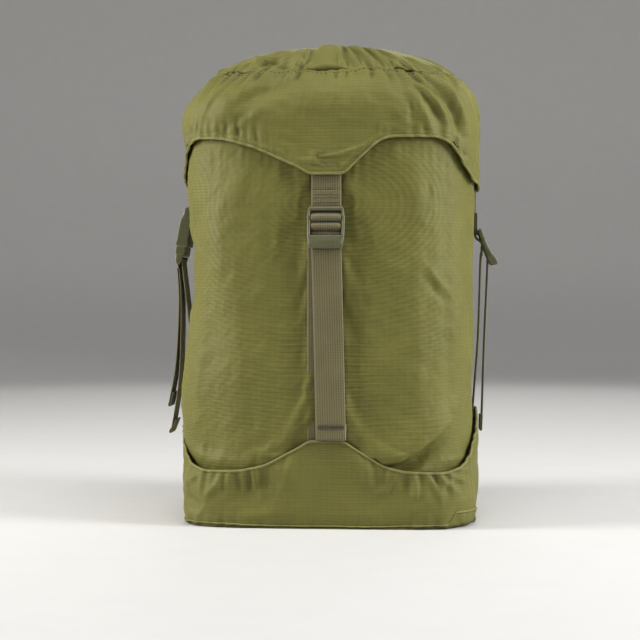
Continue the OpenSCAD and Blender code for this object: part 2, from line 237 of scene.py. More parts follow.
def new_mesh(name, verts, faces, uvs=None):
    """Smooth mesh object from millimetres; uvs has one pair for each vertex, along and across the cloth."""
    mesh = bpy.data.meshes.new(name)
    mesh.from_pydata((np.asarray(verts, float) * MM).tolist(), [], faces)
    if uvs is not None:
        layer = mesh.uv_layers.new(name="cloth")
        loops = np.zeros(len(mesh.loops), np.int64)
        mesh.loops.foreach_get("vertex_index", loops)
        layer.data.foreach_set("uv", (np.asarray(uvs)[loops] * MM).astype(np.float32).ravel())
    mesh.shade_smooth()
    mesh.validate()
    obj = bpy.data.objects.new(name, mesh)
    bpy.context.scene.collection.objects.link(obj)
    return obj


def vertices_of(mesh):
    co = np.zeros(len(mesh.vertices) * 3)
    mesh.vertices.foreach_get("co", co)
    return co.reshape(-1, 3) / MM


def grid_faces(rows, columns, looped=False):
    """Quads of a grid counted row by row, closed along its rows; looped joins the last row to the first."""
    faces = []
    for i in range(rows if looped else rows - 1):
        here, there = i * columns, (i + 1) % rows * columns
        for j in range(columns):
            k = (j + 1) % columns
            faces.append((here + j, here + k, there + k, there + j))
    return faces


def grid_normals(p):
    """Outward normals of a grid of points (rows, columns, 3) that is closed along its rows."""
    return unit(np.cross(np.roll(p, -1, 1) - np.roll(p, 1, 1), np.gradient(p, axis=0)))


def paint(obj, material):
    """Gives a piece its one material."""
    obj.data.materials.clear()
    obj.data.materials.append(material)


def shell(name, p, s, v, node):
    """Closed ring of nylon from a grid of points, with its thickness inward, in place of a CAD node."""
    rows, columns = p.shape[:2]
    uvs = np.stack([np.broadcast_to(s, (rows, columns)), v], 2).reshape(-1, 2)
    obj = new_mesh(name, p.reshape(-1, 3), grid_faces(rows, columns), uvs)
    solid = obj.modifiers.new("thickness", "SOLIDIFY")
    solid.thickness = CLOTH_T * MM
    solid.offset = -1
    paint(obj, NYLON)
    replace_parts(obj, node)
    return obj


def blend_up(obj, low, high):
    """Bakes a piece's transform into its mesh. The arguments low and high are not used."""
    low * MM
    high * MM
    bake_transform(obj)


def modify(obj, kind, **settings):
    """Bakes a modifier into an object's mesh."""
    added = obj.modifiers.new(kind.lower(), kind)
    for key, value in settings.items():
        setattr(added, key, value)
    mesh = bpy.data.meshes.new_from_object(obj.evaluated_get(bpy.context.evaluated_depsgraph_get()))
    obj.modifiers.clear()
    old, obj.data = obj.data, mesh
    bpy.data.meshes.remove(old)


def join(name, parts, body=None):
    """Makes one piece of several."""
    bpy.ops.object.select_all(action="DESELECT")
    for part in parts:
        part.select_set(True)
    bpy.context.view_layer.objects.active = parts[0]
    if len(parts) > 1:
        bpy.ops.object.join()
    parts[0].name = name
    parts[0].data.name = name
    if body:
        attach(parts[0], body)
    return parts[0]


# ---------------------------------------- cloth simulation

CLOTH_SETTINGS = {
    "quality": 6, "mass": 0.15, "tension_stiffness": 12, "compression_stiffness": 12, "shear_stiffness": 6,
    "bending_stiffness": 0.08, "tension_damping": 8, "compression_damping": 8, "air_damping": 3,
    "vertex_group_mass": "pins", "pin_stiffness": 6, "use_pressure": True,
}


def resample(values, rows, columns):
    """Values on a coarse grid that is closed along its rows, spread over a finer one."""
    r, c = values.shape[:2]
    closed = np.concatenate([values, values[:, :1]], 1)
    along = np.linspace(0, c, columns, endpoint=False)
    up = np.linspace(0, r - 1, rows)
    wide = np.apply_along_axis(lambda row: np.interp(along, np.arange(c + 1), row), 1, closed)
    return np.apply_along_axis(lambda line: np.interp(up, np.arange(r), line), 0, wide)


def settle(p, pins, pressure, growth, frames, limit, sink):
    """Lets a coarse ring of cloth hang, filled by pressure, and returns how far each of its points moved.

    pins holds each point to its start, from 0 to 1; growth is how much bigger the cloth is cut than its
    start; sink is the furthest it may go inward.
    """
    start = p.reshape(-1, 3)
    obj = new_mesh("settling_cloth", start, grid_faces(*p.shape[:2]))
    group = obj.vertex_groups.new(name="pins")
    for i, weight in enumerate(np.clip(pins, 0, 1).ravel()):
        if weight > 0.01:
            group.add([i], float(weight), "REPLACE")
    cloth = obj.modifiers.new("cloth", "CLOTH")
    for key, value in CLOTH_SETTINGS.items():
        setattr(cloth.settings, key, value)
    cloth.settings.shrink_min = -growth
    cloth.settings.uniform_pressure_force = pressure
    cloth.settings.effector_weights.gravity = 0.6
    cloth.collision_settings.use_collision = False
    cloth.collision_settings.use_self_collision = False
    scene = bpy.context.scene
    for timed in (cloth.point_cache, scene):
        timed.frame_start, timed.frame_end = 1, frames
    for number in range(1, frames + 1):
        scene.frame_set(number)
    graph = bpy.context.evaluated_depsgraph_get()
    moved = vertices_of(obj.evaluated_get(graph).to_mesh()) - start
    scene.frame_set(1)
    mesh = obj.data
    bpy.data.objects.remove(obj)
    bpy.data.meshes.remove(mesh)
    length = np.linalg.norm(moved, axis=1, keepdims=True)
    moved *= limit * np.tanh(length / limit) / np.maximum(length, 1e-6)
    moved = moved.reshape(p.shape)
    normals = grid_normals(p)
    outward = (moved * normals).sum(2, keepdims=True)
    return moved + normals * np.maximum(-sink - outward, 0)


# ---------------------------------------- materials

class Value:
    """A node's output, which adds, subtracts and multiplies with numbers and with other outputs."""

    def __init__(self, nodes, socket):
        self.nodes, self.socket = nodes, socket

    def output(self, key):
        """Another output of the same node."""
        return Value(self.nodes, self.socket.node.outputs[key])

    def __add__(self, other):
        return self.nodes.math("ADD", self, other)

    def __sub__(self, other):
        return self.nodes.math("SUBTRACT", self, other)

    def __mul__(self, other):
        return self.nodes.math("MULTIPLY", self, other)

    __radd__, __rmul__ = __add__, __mul__


class Nodes:
    """Short calls for building a material's nodes."""

    def __init__(self, name):
        self.material = bpy.data.materials.new(name)
        self.material.use_nodes = True
        self.tree = self.material.node_tree
        self.tree.nodes.clear()
        out = self.tree.nodes.new("ShaderNodeOutputMaterial")
        self.shader = self.tree.nodes.new("ShaderNodeBsdfPrincipled")
        self.tree.links.new(self.shader.outputs[0], out.inputs[0])

    def put(self, value, socket):
        if isinstance(value, Value):
            self.tree.links.new(value.socket, socket)
        elif socket.type == "VECTOR":
            socket.default_value = value[:3]
        else:
            socket.default_value = value

    def node(self, kind, inputs, output=0, **settings):
        made = self.tree.nodes.new(kind)
        for key, value in settings.items():
            setattr(made, key, value)
        for key, value in inputs.items():
            self.put(value, made.inputs[key])
        return Value(self, made.outputs[output])

    def set(self, **values):
        """Sets the shader's inputs."""
        for key, value in values.items():
            self.put(value, self.shader.inputs[key.replace("_", " ")])

    def coordinates(self):
        """Position in metres, and the distances along and across the cloth."""
        place = self.node("ShaderNodeTexCoord", {}, "Object")
        along = self.node("ShaderNodeSeparateXYZ", {0: place.output("UV")})
        return place, along, along.output(1)

    def math(self, operation, a, b=0.0):
        return self.node("ShaderNodeMath", {0: a, 1: b}, operation=operation)

    def size(self, value):
        return self.math("ABSOLUTE", value)

    def noise(self, place, scale, detail=3.0):
        inputs = {"Vector": place, "Scale": scale, "Detail": detail, "Roughness": 0.55}
        return self.node("ShaderNodeTexNoise", inputs, "Fac")

    def wave(self, along, period):
        """Sine of unit height with a period in metres."""
        return self.math("SINE", along * (2 * math.pi / period))

    def ramp(self, value, lo, hi, start, end):
        """Goes from start at lo to end at hi."""
        return self.node("ShaderNodeMapRange", {0: value, 1: lo, 2: hi, 3: start, 4: end})

    def mix(self, factor, a, b):
        return self.node("ShaderNodeMix", {0: factor, 6: a, 7: b}, 2, data_type="RGBA")

    def tint(self, colour, factor):
        """Colour made brighter or darker by a factor near one."""
        return self.node("ShaderNodeVectorMath", {0: colour, "Scale": factor}, operation="SCALE")

    def painted_gap_shade(self, reach, darkest):
        """Painted shade from ambient occlusion: one on open cloth, falling to darkest deep in a gap or under
        a fold.
        """
        seen = self.node("ShaderNodeAmbientOcclusion", {"Distance": reach}, "AO", samples=6)
        return self.ramp(seen, 0.35, 0.85, darkest, 1.0)

    def bump(self, height, strength, distance):
        inputs = {"Height": height, "Strength": strength, "Distance": distance}
        self.set(Normal=self.node("ShaderNodeBump", inputs))


OLIVE = (0.150, 0.142, 0.033, 1)
OLIVE_BOUND = (0.21, 0.20, 0.06, 1)
KHAKI = (0.145, 0.124, 0.056, 1)
KHAKI_LIGHT = (0.25, 0.225, 0.12, 1)
PLASTIC = (0.080, 0.078, 0.035, 1)
PLASTIC_PALE_EDGE = (0.25, 0.245, 0.14, 1)
WIRE = (0.55, 0.56, 0.58, 1)


def nylon_material(name, base):
    """Coated ripstop: fine ribs in patches, a grid of thicker yarns and faint rings on the front, with
    painted shade in gaps and under folds.
    """
    n = Nodes(name)
    place, u, v = n.coordinates()
    wander = n.noise(place, 9, 2) * 0.006
    strength = (n.noise(place, 14) - 0.3) * 2.2
    ribs = n.wave(v + wander, 0.0025) * strength
    yarns = n.math("MAXIMUM", *(n.math("POWER", n.size(n.wave(along, 0.0104)), 18) for along in (u, v)))
    du = (n.math("PINGPONG", u, QUARTER * MM / 2) - 0.016) * 0.7
    dv = v - 0.262
    reach = n.math("SQRT", du * du + dv * dv)
    rings = n.wave(reach + n.noise(place, 11, 2) * 0.012, 0.0041)
    shown = n.ramp(n.size(u), 0.13, 0.085, 0.10, 0.6) * n.ramp(n.size(v - 0.19), 0.125, 0.105, 0.25, 1.0)
    weave = ribs * 0.5 + n.wave(u + wander, 0.0016) * 0.16 + rings * (strength * shown)
    mottle = n.noise(place, 38, 4)
    # painted shade: ambient occlusion darkens the cloth's tone in gaps and under folds, down to 0.3
    shade = (0.92 + weave * 0.26 + (mottle - 0.5) * 0.30 + yarns * 0.06) * n.painted_gap_shade(0.006, 0.3)
    n.set(Base_Color=n.tint(base, shade), Roughness=0.5 + mottle * 0.2, Specular_IOR_Level=0.22,
          Sheen_Weight=0.05, Sheen_Roughness=0.35, Sheen_Tint=(0.75, 0.78, 0.3, 1))
    n.bump(weave * 0.6 + yarns * 0.5 + n.noise(place, 420) * 0.8, 0.5, 0.00016)
    return n.material


def webbing_material():
    """Ribbed webbing: columns of slanting picks, paler selvedges and fuzz, with painted shade in gaps."""
    n = Nodes("webbing")
    place, u, v = n.coordinates()
    column = n.wave(u, 0.0019)
    ridge = n.size(column)
    picks = n.wave(v + ridge * 0.0006, 0.0013) * ridge
    edge = n.math("POWER", n.math("DIVIDE", n.size(u), 0.0125), 10)
    dirt = n.noise(place, 45, 4) - 0.5
    # painted shade: ambient occlusion darkens the webbing in gaps, such as behind the lock's slots, down to
    # 0.25
    shade = (0.9 + picks * 0.22 + column * 0.20 + dirt * 0.35) * n.painted_gap_shade(0.005, 0.25)
    n.set(Base_Color=n.tint(n.mix(edge * 0.5, KHAKI, KHAKI_LIGHT), shade), Roughness=0.78, Sheen_Weight=0.3,
          Sheen_Roughness=0.5, Specular_IOR_Level=0.25)
    n.bump(picks * 0.7 + n.noise(place, 900) * 0.6, 0.6, 0.00022)
    return n.material


def thread_material(name, base, period):
    """Twisted thread or braided cord."""
    n = Nodes(name)
    place = n.coordinates()[0]
    x = n.node("ShaderNodeSeparateXYZ", {0: place})
    strands = n.wave(x + x.output(1) + x.output(2), period)
    shade = 0.95 + strands * 0.14 + (n.noise(place, 60) - 0.5) * 0.3
    n.set(Base_Color=n.tint(base, shade), Roughness=0.7, Sheen_Weight=0.2)
    n.bump(strands, 0.5, 0.0002)
    return n.material


def plastic_material():
    """Moulded acetal: satin, faintly mottled, paler along its sharper edges."""
    n = Nodes("moulded_plastic")
    place = n.coordinates()[0]
    mottle, cloud = n.noise(place, 260, 4), n.noise(place, 60, 2)
    # paler on sharp convex edges, where pointiness is high, flecked by the cloud noise
    pale_edge = n.ramp(n.node("ShaderNodeNewGeometry", {}, "Pointiness"), 0.505, 0.55, 0.0, 1.0)
    colour = n.tint(n.mix(pale_edge * (0.35 + cloud * 0.6), PLASTIC, PLASTIC_PALE_EDGE), 0.88 + cloud * 0.24)
    n.set(Base_Color=colour, Roughness=0.34 + mottle * 0.16, Specular_IOR_Level=0.5)
    n.bump(mottle, 0.12, 0.0001)
    return n.material


def steel_material():
    """Drawn spring wire with fine marks along it."""
    n = Nodes("spring_wire")
    marks = n.noise(n.coordinates()[0], 1400)
    n.set(Base_Color=n.tint(WIRE, 0.8 + marks * 0.4), Metallic=1.0, Roughness=0.22 + marks * 0.25)
    return n.material


NYLON = nylon_material("ripstop_nylon", OLIVE)
BINDING = nylon_material("bound_hem", OLIVE_BOUND)
WEBBING = webbing_material()
THREAD = thread_material("sewing_thread", (0.12, 0.115, 0.04, 1), 0.0006)
THREAD_PALE = thread_material("pale_thread", (0.165, 0.155, 0.06, 1), 0.0006)
THREAD_DARK = thread_material("dark_thread", (0.035, 0.032, 0.016, 1), 0.0006)
CORD = thread_material("braided_cord", (0.06, 0.065, 0.03, 1), 0.0016)
PLASTIC_FINISH = plastic_material()
STEEL = steel_material()


# ---------------------------------------- edges of the cap and the cup

TAB = 15.0
CAP_TAB_Z = [284, 277, 284, 278]
CUP_TAB_Z = [71, 90, 71, 92]
CAP_BACK = [(MID + 74, 312), (MID + 104, 312), (HALF - TAB - 4, 288)]
CUP_BACK = [(MID + 60, 54), (MID + 90, 47), (HALF - 50, 52), (HALF - TAB - 4, 67)]


def through(keys):
    """Smooth function of the distance from the front's middle through (distance, height) keys."""
    distance, height = np.array(keys, float).T
    fine = np.linspace(0, distance[-1], 900)
    kernel = np.hanning(33)
    padded = np.pad(np.interp(fine, distance, height), 16, mode="edge")
    level = np.convolve(padded, kernel / kernel.sum(), mode="valid")
    return lambda d: np.interp(d, fine, level)


def scalloped(tab_z, half_tab, right, left):
    """Height of an edge round the sack, level across its tabs, with keys before and after each side's tab."""
    halves = []
    for side, (before, after) in ((RIGHT, right), (LEFT, left)):
        front, level, back = tab_z[FRONT], tab_z[side], tab_z[BACK]
        halves.append(through([
            (0, front), (TAB, front), *before, (MID - half_tab, level), (MID + half_tab, level), *after,
            (HALF - TAB, back), (HALF, back)]))
    return lambda s: np.where(s >= 0, halves[0](np.abs(s)), halves[1](np.abs(s)))


cap_edge = scalloped(
    CAP_TAB_Z, 14,
    ([(TAB + 4, 289), (40, 309), (50, 313.5), (90, 314), (104, 308), (118, 292), (134, 281)],
     [(MID + 34, 290), *CAP_BACK]),
    ([(TAB + 4, 288), (58, 305.5), (84, 313), (112, 315), (126, 311), (138, 298), (150, 284)],
     [(MID + 34, 290), *CAP_BACK]))
cup_edge = scalloped(
    CUP_TAB_Z, 13,
    ([(TAB + 4, 67.5), (46, 51), (62, 46.5), (94, 45), (108, 48), (122, 54), (136, 64), (152, 76),
      (MID - 16, 87)],
     [(MID + 20, 84), *CUP_BACK]),
    ([(TAB + 4, 67.5), (50, 51), (70, 46.5), (98, 45.5), (114, 49), (128, 57), (144, 71), (MID - 18, 88)],
     [(MID + 20, 85), *CUP_BACK]))


# ---------------------------------------- sack body

BODY_FOLDS = [
    # the bulge that hangs over the cup at the lower right, the hollow under it and the facet below that
    ([(40, 53), (56, 56), (74, 65), (92, 79), (108, 91)], 4.8, 18, 3),
    ([(44, 47), (58, 50), (74, 58), (92, 72)], -6.2, 2.5, 9),
    ([(50, 42), (68, 44), (84, 51)], 2.2, 4, 5),
    ([(24, 54), (36, 58), (48, 64)], 1.2, 12, 4),
    # small folds at the left and right edges
    ([(-150, 250), (-132, 238), (-110, 216)], 2.2, 5, 9),
    ([(-146, 232), (-128, 222), (-112, 206)], -2.0, 6, 4),
    ([(84, 210), (92, 200), (104, 190)], 1.8, 3, 7),
    ([(82, 202), (90, 193), (100, 184)], -1.6, 4, 4),
    ([(-118, 60), (-100, 54), (-84, 56)], 1.8, 4, 6),
    ([(-124, 70), (-106, 62), (-92, 62)], -1.2, 5, 4),
    # long soft folds that run down from the cap between the straps
    ([(150, 300), (146, 230), (152, 150)], 1.8, 8, 9),
    ([(-62, 306), (-70, 280), (-92, 250)], 0.9, 8, 8),
    ([(58, 308), (72, 270), (84, 240)], 0.9, 10, 8),
    ([(250, 300), (262, 220), (256, 120)], 2.0, 8, 10),
    ([(-250, 290), (-262, 210), (-250, 130)], 2.0, 8, 10),
    ([(300, 90), (330, 70), (360, 80)], 1.8, 8, 6),
    ([(-330, 90), (-300, 66), (-280, 74)], 1.8, 8, 6),
]
FRONT_CORNER = MID - 52


def behind_locks(s, z):
    """One behind each ladder lock, where the cloth lies flat so that the lock can tilt."""
    return sum(near(s, SIDE_S[side], 27, 16) * smooth(np.abs(z - lock_bar(side, 0)[1]), 26, 12)
               for side in (FRONT, RIGHT, BACK))


def body_swell(s, z):
    """How far the stuffed body stands out from its CAD wall."""
    barrel = np.sin(math.pi * np.clip((z - 20) / 300, 0, 1)) ** 0.6
    pillow = between_straps(s, 30) * smooth(np.abs(np.sin(np.pi * around(s, 0) / QUARTER)), 0.0, 0.9)
    flat = near(s, 0, 104, 70) + near(s, HALF, 104, 70)
    swell = barrel * (3.0 * between_straps(s, 40) + 4.2 * pillow * flat
                      + 1.3 * ripple(s, z, 120, 3) + 0.5 * ripple(s, z, 44, 4, 1.6))
    left = near(s, -FRONT_CORNER, 60, 10)
    swell += 5.5 * smooth(z, 170, 95) * smooth(z, 30, 70) * left
    swell -= 3.5 * smooth(z, 160, 200) * smooth(z, 268, 232) * left
    swell += 2.2 * smooth(z, 225, 262) * smooth(z, 320, 300) * left
    swell -= 2.5 * smooth(z, 80, 130) * smooth(z, 300, 240) * near(s, FRONT_CORNER, 60, 10)
    behind = behind_locks(s, z)
    return swell * (1 - behind) - 0.4 * behind


def body_grid(rows, columns):
    """Points of the stuffed body before its folds, with their places round and up."""
    s, z = ring_grid(rows, columns, 7, BODY_TOP + 6)
    phi = angle_at(s)
    return ring_points(phi, outline(phi, BODY) + body_swell(s, z), z), s, z


def settle_body():
    """Cloth held under the cap, under the cup and behind the straps, free between them."""
    p, s, z = body_grid(96, 240)
    ends = np.maximum(smooth(z, 62, 40), smooth(z, 300, 318))
    pins = np.maximum(ends, 0.35 * strap_valley(s, 13))
    return settle(p, pins, pressure=0.35, growth=0.008, frames=30, limit=1.2, sink=0.9)


def make_body():
    rows, columns = 190, 440
    p, s, z = body_grid(rows, columns)
    free = 1 - behind_locks(s, z)[..., None]
    p = p + resample(settle_body(), rows, columns) * free
    beside_strap = 0.8 * bell(np.abs(around(s, 0)) - 15, 4) * smooth(z, 60, 90) * smooth(z, 300, 270)
    fine = 0.16 * ripple(s, z, 14, 5, 1.5) + 0.10 * ripple(s, z, 7, 6)
    relief = 1.25 * folds(s, z, BODY_FOLDS) + fine + beside_strap
    body = shell("sack_body", p + grid_normals(p) * relief[..., None] * free, s, z, "sack_tube")
    blend_up(body, 50, 310)


# ---------------------------------------- cap

CROWN_SHIFT = 3.5
SHOULDER = 44
GRID_COLUMNS = 600
SKIRT_FOLDS = [
    # broad valleys at the left with a ridge between them
    ([(-36, 356), (-62, 347), (-80, 333)], -2.6, 10, 6),
    ([(-58, 334), (-74, 326), (-86, 314)], -2.0, 6, 5),
    ([(-50, 338), (-68, 328), (-82, 318)], 1.4, 4, 5),
    ([(-96, 358), (-104, 338), (-106, 318)], 1.0, 3, 4),
    ([(-104, 352), (-112, 334), (-114, 316)], -1.0, 3, 3),
    # strong folds at the right, from the seam down towards the edge
    ([(40, 366), (50, 349), (57, 328)], 1.6, 5, 7),
    ([(52, 352), (62, 338), (66, 318)], 1.0, 4, 6),
    ([(62, 367), (79, 352), (98, 330)], 3.0, 3, 5),
    ([(68, 362), (80, 346), (92, 328)], -2.4, 3.5, 3.5),
    ([(66, 354), (76, 338), (84, 320)], 2.4, 4, 4.5),
    ([(78, 360), (88, 350), (98, 340)], -1.6, 2.5, 2.5),
    ([(88, 358), (101, 340), (112, 320)], -3.4, 6, 4),
    ([(96, 362), (110, 342), (122, 318)], 2.4, 4, 7),
    ([(106, 362), (120, 346), (130, 326)], -1.4, 4, 4),
    ([(88, 366), (92, 360), (98, 353)], 1.2, 3, 3),
    ([(24, 364), (30, 350), (32, 334)], 0.9, 3, 6),
    ([(4, 366), (6, 352), (4, 338)], 0.7, 3, 6),
    # the other sides
    ([(150, 362), (160, 340), (158, 312)], 2.2, 5, 8),
    ([(176, 362), (182, 340), (178, 318)], 1.6, 4, 7),
    ([(-130, 360), (-138, 336), (-134, 312)], 1.6, 5, 7),
    ([(-160, 362), (-166, 342), (-160, 320)], 1.6, 4, 7),
    ([(240, 364), (250, 342), (262, 322)], 2.4, 4, 7),
    ([(258, 364), (268, 346), (276, 326)], -2.0, 5, 5),
    ([(320, 362), (330, 340), (326, 318)], 1.8, 4, 8),
    ([(-240, 364), (-252, 344), (-262, 322)], 2.4, 5, 7),
    ([(-200, 362), (-212, 344), (-216, 318)], -1.8, 6, 5),
    ([(-330, 362), (-318, 342), (-322, 318)], 1.8, 5, 8),
]
# on the crown, the second value is the distance in from the seam
CROWN_CREASES = [
    ([(-16, 55), (4, 30), (12, 2)], 1.8, 1.0, 3.0),
    ([(0, 62), (20, 32), (28, 2)], 2.0, 1.0, 3.0),
    ([(22, 60), (38, 32), (48, 2)], 2.0, 1.0, 3.0),
    ([(40, 45), (54, 24), (62, 2)], 1.7, 1.0, 3.0),
    ([(60, 34), (72, 18), (80, 2)], 1.7, 1.2, 3.0),
    ([(-46, 40), (-34, 24), (-30, 2)], 1.2, 1.4, 3.0),
    ([(-92, 16), (-70, 22), (-44, 16), (-26, 3)], 2.6, 2.2, 6.0),
    ([(-86, 8), (-66, 12), (-44, 6)], -2.0, 3, 3),
    ([(-100, 20), (-84, 12), (-76, 2)], 1.6, 1.6, 3.0),
    ([(92, 22), (96, 12), (102, 2)], 1.5, 1.6, 3.0),
    ([(150, 40), (160, 20), (164, 2)], 1.4, 1.6, 3.5),
    ([(230, 42), (244, 20), (250, 2)], 1.4, 1.6, 3.5),
    ([(-150, 40), (-164, 20), (-170, 2)], 1.4, 1.6, 3.5),
    ([(-260, 42), (-250, 20), (-246, 2)], 1.4, 1.6, 3.5),
    ([(340, 40), (352, 20), (358, 2)], 1.4, 1.6, 3.5),
]


def cap_half(z):
    """Half sizes of the cap at a height: upright below, drawn in towards the seam."""
    drawn = np.clip((z - (SEAM_Z - SHOULDER)) / SHOULDER, 0, 1) ** 2.4
    flare = 0.6 * smooth(z, SEAM_Z - 50, SEAM_Z - 90)
    return [CAP[i] - (CAP[i] - SEAM[i]) * drawn + flare for i in (0, 1)]


def seam_z(s):
    """Height of the seam: it wanders, and slopes a little down from the left of the front to its right."""
    slope = smooth(s, -60, -110) - smooth(s, 60, 110)
    return SEAM_Z + (1.6 * slope + 0.9 * np.sin(2 * math.pi * s / ROUND * 3 + 0.6))


def seam_relief(s, apart, seed, height, reach):
    """Puckers and long gathers beside the seam, and its groove, by the distance apart from it."""
    return (2.0 * (puckers(s, 22, 9) - 0.55) * bell(apart - 5, 6)
            + height * (puckers(s, seed, 17) - 0.5) * np.exp(-apart / reach) * smooth(apart, 0, 6)
            - 0.9 * bell(apart, 2.4))


def skirt_points(s, v):
    """Points of the skirt, and their heights: v is 0 at the scalloped edge and 1 at the seam."""
    z = cap_edge(s) + (seam_z(s) - cap_edge(s)) * v
    phi = angle_at(s)
    shift = CROWN_SHIFT * smooth(z, SEAM_Z - SHOULDER, SEAM_Z)
    return ring_points(phi, outline(phi, cap_half(z)), z, shift), z


def skirt_relief(s, z, v):
    """Folds, gathers and puckers of the skirt."""
    above = z - cap_edge(s)
    hem_gathers = 1.6 * (puckers(s, 21, 9) - 0.5) * bell(above - 9, 9) * between_straps(s, 44)
    relief = 1.4 * folds(s, z, SKIRT_FOLDS) + hem_gathers
    relief += seam_relief(s, (1 - v) * (SEAM_Z - cap_edge(s)), 23, 1.5, 22)
    relief += 0.35 * ripple(s, z, 15, 24, 5.0) * near(s, -112, 34, 8)
    relief += 0.9 * ripple(s, z, 70, 25) * smooth(v, 0.0, 0.3) + 0.16 * ripple(s, z, 9, 26)
    tab = strap_valley(s, 22) * smooth(above, 60, 25)
    return relief * (1 - 0.8 * tab) + 0.4 * tab


def crown_points(s, rho):
    """Points of the crown: rho is 1 at the seam and 0 in the middle."""
    phi = angle_at(s)
    fullness = 2.7 + 0.6 * smooth(np.abs(s), 120, 40)
    z = seam_z(s) + (TOP_Z - 5.4 - seam_z(s)) * np.clip(1 - rho**fullness, 0, 1)
    return ring_points(phi, outline(phi, SEAM) * np.maximum(rho, 0.002), z, CROWN_SHIFT)


def settle_cap():
    """Cloth of the skirt and crown together, held along the scalloped edge and lightly at the seam."""
    rows, columns = 40, 240
    s, v = ring_grid(rows, columns)
    p = np.concatenate([skirt_points(s, v)[0], crown_points(s, 1 - v)[1:]], 0)
    level = np.arange(len(p))[:, None] + np.zeros((1, columns))
    pins = np.maximum(smooth(level, 5, 0), 0.75 * bell(level - rows + 1, 1.2))
    pins = np.maximum(pins, smooth(level, len(p) - 5, len(p) - 1))
    moved = settle(p, pins, pressure=0.6, growth=0.03, frames=28, limit=3.0, sink=0.3)
    return moved[:rows], moved[rows - 1 :]


def make_skirt(moved):
    rows = 76
    s, v = ring_grid(rows, GRID_COLUMNS)
    p, z = skirt_points(s, v)
    p = p + resample(moved, rows, GRID_COLUMNS)
    p = p + grid_normals(p) * skirt_relief(s, z, v)[..., None]
    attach(shell("cap_skirt_cloth", p, s, z, "cap_skirt"), "cap")
    return p, s[0]


def cover_lock(p):
    """Lifts the crown clear of the cord lock that slides back and forth under it."""
    lo, hi = node_box("cord_lock_plunger")
    middle = (lo + hi)[:2] / 2
    back, forth = (1000 * shift for shift in JOINTS["cord_lock_slide"]["range_m"])
    reach = p[..., 1] - np.clip(p[..., 1], middle[1] - forth, middle[1] - back)
    apart = np.maximum(np.hypot(p[..., 0] - middle[0], reach) - 8, 0)
    short = hi[2] + 1.7 - 0.9 * apart - p[..., 2]
    p[..., 2] += 0.6 * np.log1p(np.exp(np.clip(short / 0.6, -30, 30)))


def make_crown(skirt_top, moved):
    rows = 70
    s, v = ring_grid(rows, GRID_COLUMNS)
    p = crown_points(s, 1 - v) + resample(moved, rows, GRID_COLUMNS)
    inward = v * 100
    relief = seam_relief(s, inward, 31, 1.8, 20)
    relief += 1.9 * smooth(inward, 0, 5) * folds(s, inward, CROWN_CREASES)
    x, y = p[..., 0], p[..., 1]
    lumps = (0.8 * np.sin(x / 23 + 1) * np.cos(y / 19) + 0.5 * np.sin(x / 9 - y / 14)
             + 0.4 * np.sin(x / 31 + y / 11 + 2))
    relief = relief * smooth(1 - v, 0.12, 0.5) + lumps * smooth(v, 0.05, 0.4)
    normals = grid_normals(p)
    normals[-6:] = UP
    p = p + normals * relief[..., None]
    p[-1] = p[-1].mean(0)
    cover_lock(p)
    p[0] = skirt_top
    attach(shell("cap_crown_cloth", p, s, SEAM_Z + inward, "cap_crown"), "cap")


# ---------------------------------------- sewn edges

HEM_H = 2.4
HEM_T = 1.1
STITCH_SECTIONS = 6
STITCH_RINGS = [(0.12, 0.75), (0.5, 1.0), (0.88, 0.75)]


def stitches(name, line, normal, material, spacing, length, radius, body=None, closed=True):
    """A row of stitches laid along a line of points, each a small bead of thread."""
    if closed:
        line, normal = np.vstack([line, line[:1]]), np.vstack([normal, normal[:1]])
    run = run_along(line)
    count = max(1, int(run[-1] / spacing))
    middle = (np.arange(count) + 0.5) * run[-1] / count

    def at(values, where):
        return np.stack([np.interp(where, run, values[:, k]) for k in range(3)], 1)

    a, b, n = at(line, middle - length / 2), at(line, middle + length / 2), unit(at(normal, middle))
    side = np.cross(unit(b - a), n)
    turn = circle(STITCH_SECTIONS)[:, None]
    parts = []
    for share, plump in STITCH_RINGS:
        centre = a + (b - a) * share + n * radius * (0.4 * plump)
        spokes = np.cos(turn) * side[:, None] + np.sin(turn) * n[:, None]
        parts.append(centre[:, None] + spokes * radius * plump)
    verts = np.concatenate(parts + [a[:, None], b[:, None]], 1)
    last = STITCH_SECTIONS * (len(STITCH_RINGS) - 1)
    tip = last + STITCH_SECTIONS
    bead = grid_faces(len(STITCH_RINGS), STITCH_SECTIONS)
    for k in range(STITCH_SECTIONS):
        after = (k + 1) % STITCH_SECTIONS
        bead += [(after, k, tip), (last + k, last + after, tip + 1)]
    faces = [tuple(i * (tip + 2) + corner for corner in face) for i in range(count) for face in bead]
    obj = new_mesh(name, verts.reshape(-1, 3), faces)
    paint(obj, material)
    if body:
        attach(obj, body)
    return obj


def hem(name, edge, above, s, body, node, direction=1):
    """Bound and stitched edge: a flattened roll along an edge of cloth; above is a row of cloth near it."""
    run = unit(above - edge)
    normal = unit(np.cross(np.roll(edge, -1, 0) - np.roll(edge, 1, 0), run) * direction)
    a = circle(14)[:, None]
    squeeze = 1 + 0.10 * ripple(s, 0, 6, 41, count=8)
    up = HEM_H / 2 * (1 + np.sign(np.cos(a)) * np.abs(np.cos(a)) ** 0.7) - 0.6
    off = HEM_T * np.sign(np.sin(a)) * np.abs(np.sin(a)) ** 0.8 * squeeze - 0.4
    p = edge + run * up[..., None] + normal * off[..., None]
    uvs = np.stack(np.broadcast_arrays(s, a / (2 * math.pi) * 10), 2).reshape(-1, 2)
    obj = new_mesh(name, p.reshape(-1, 3), grid_faces(*p.shape[:2], looped=True), uvs)
    paint(obj, BINDING)
    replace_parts(obj, node)
    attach(obj, body)
    line = edge + run * (HEM_H - 1.3) + normal * (HEM_T * 0.82 - 0.35)
    stitches(name + "_stitches", line, normal, THREAD_PALE, spacing=3.0, length=2.0, radius=0.28, body=body)


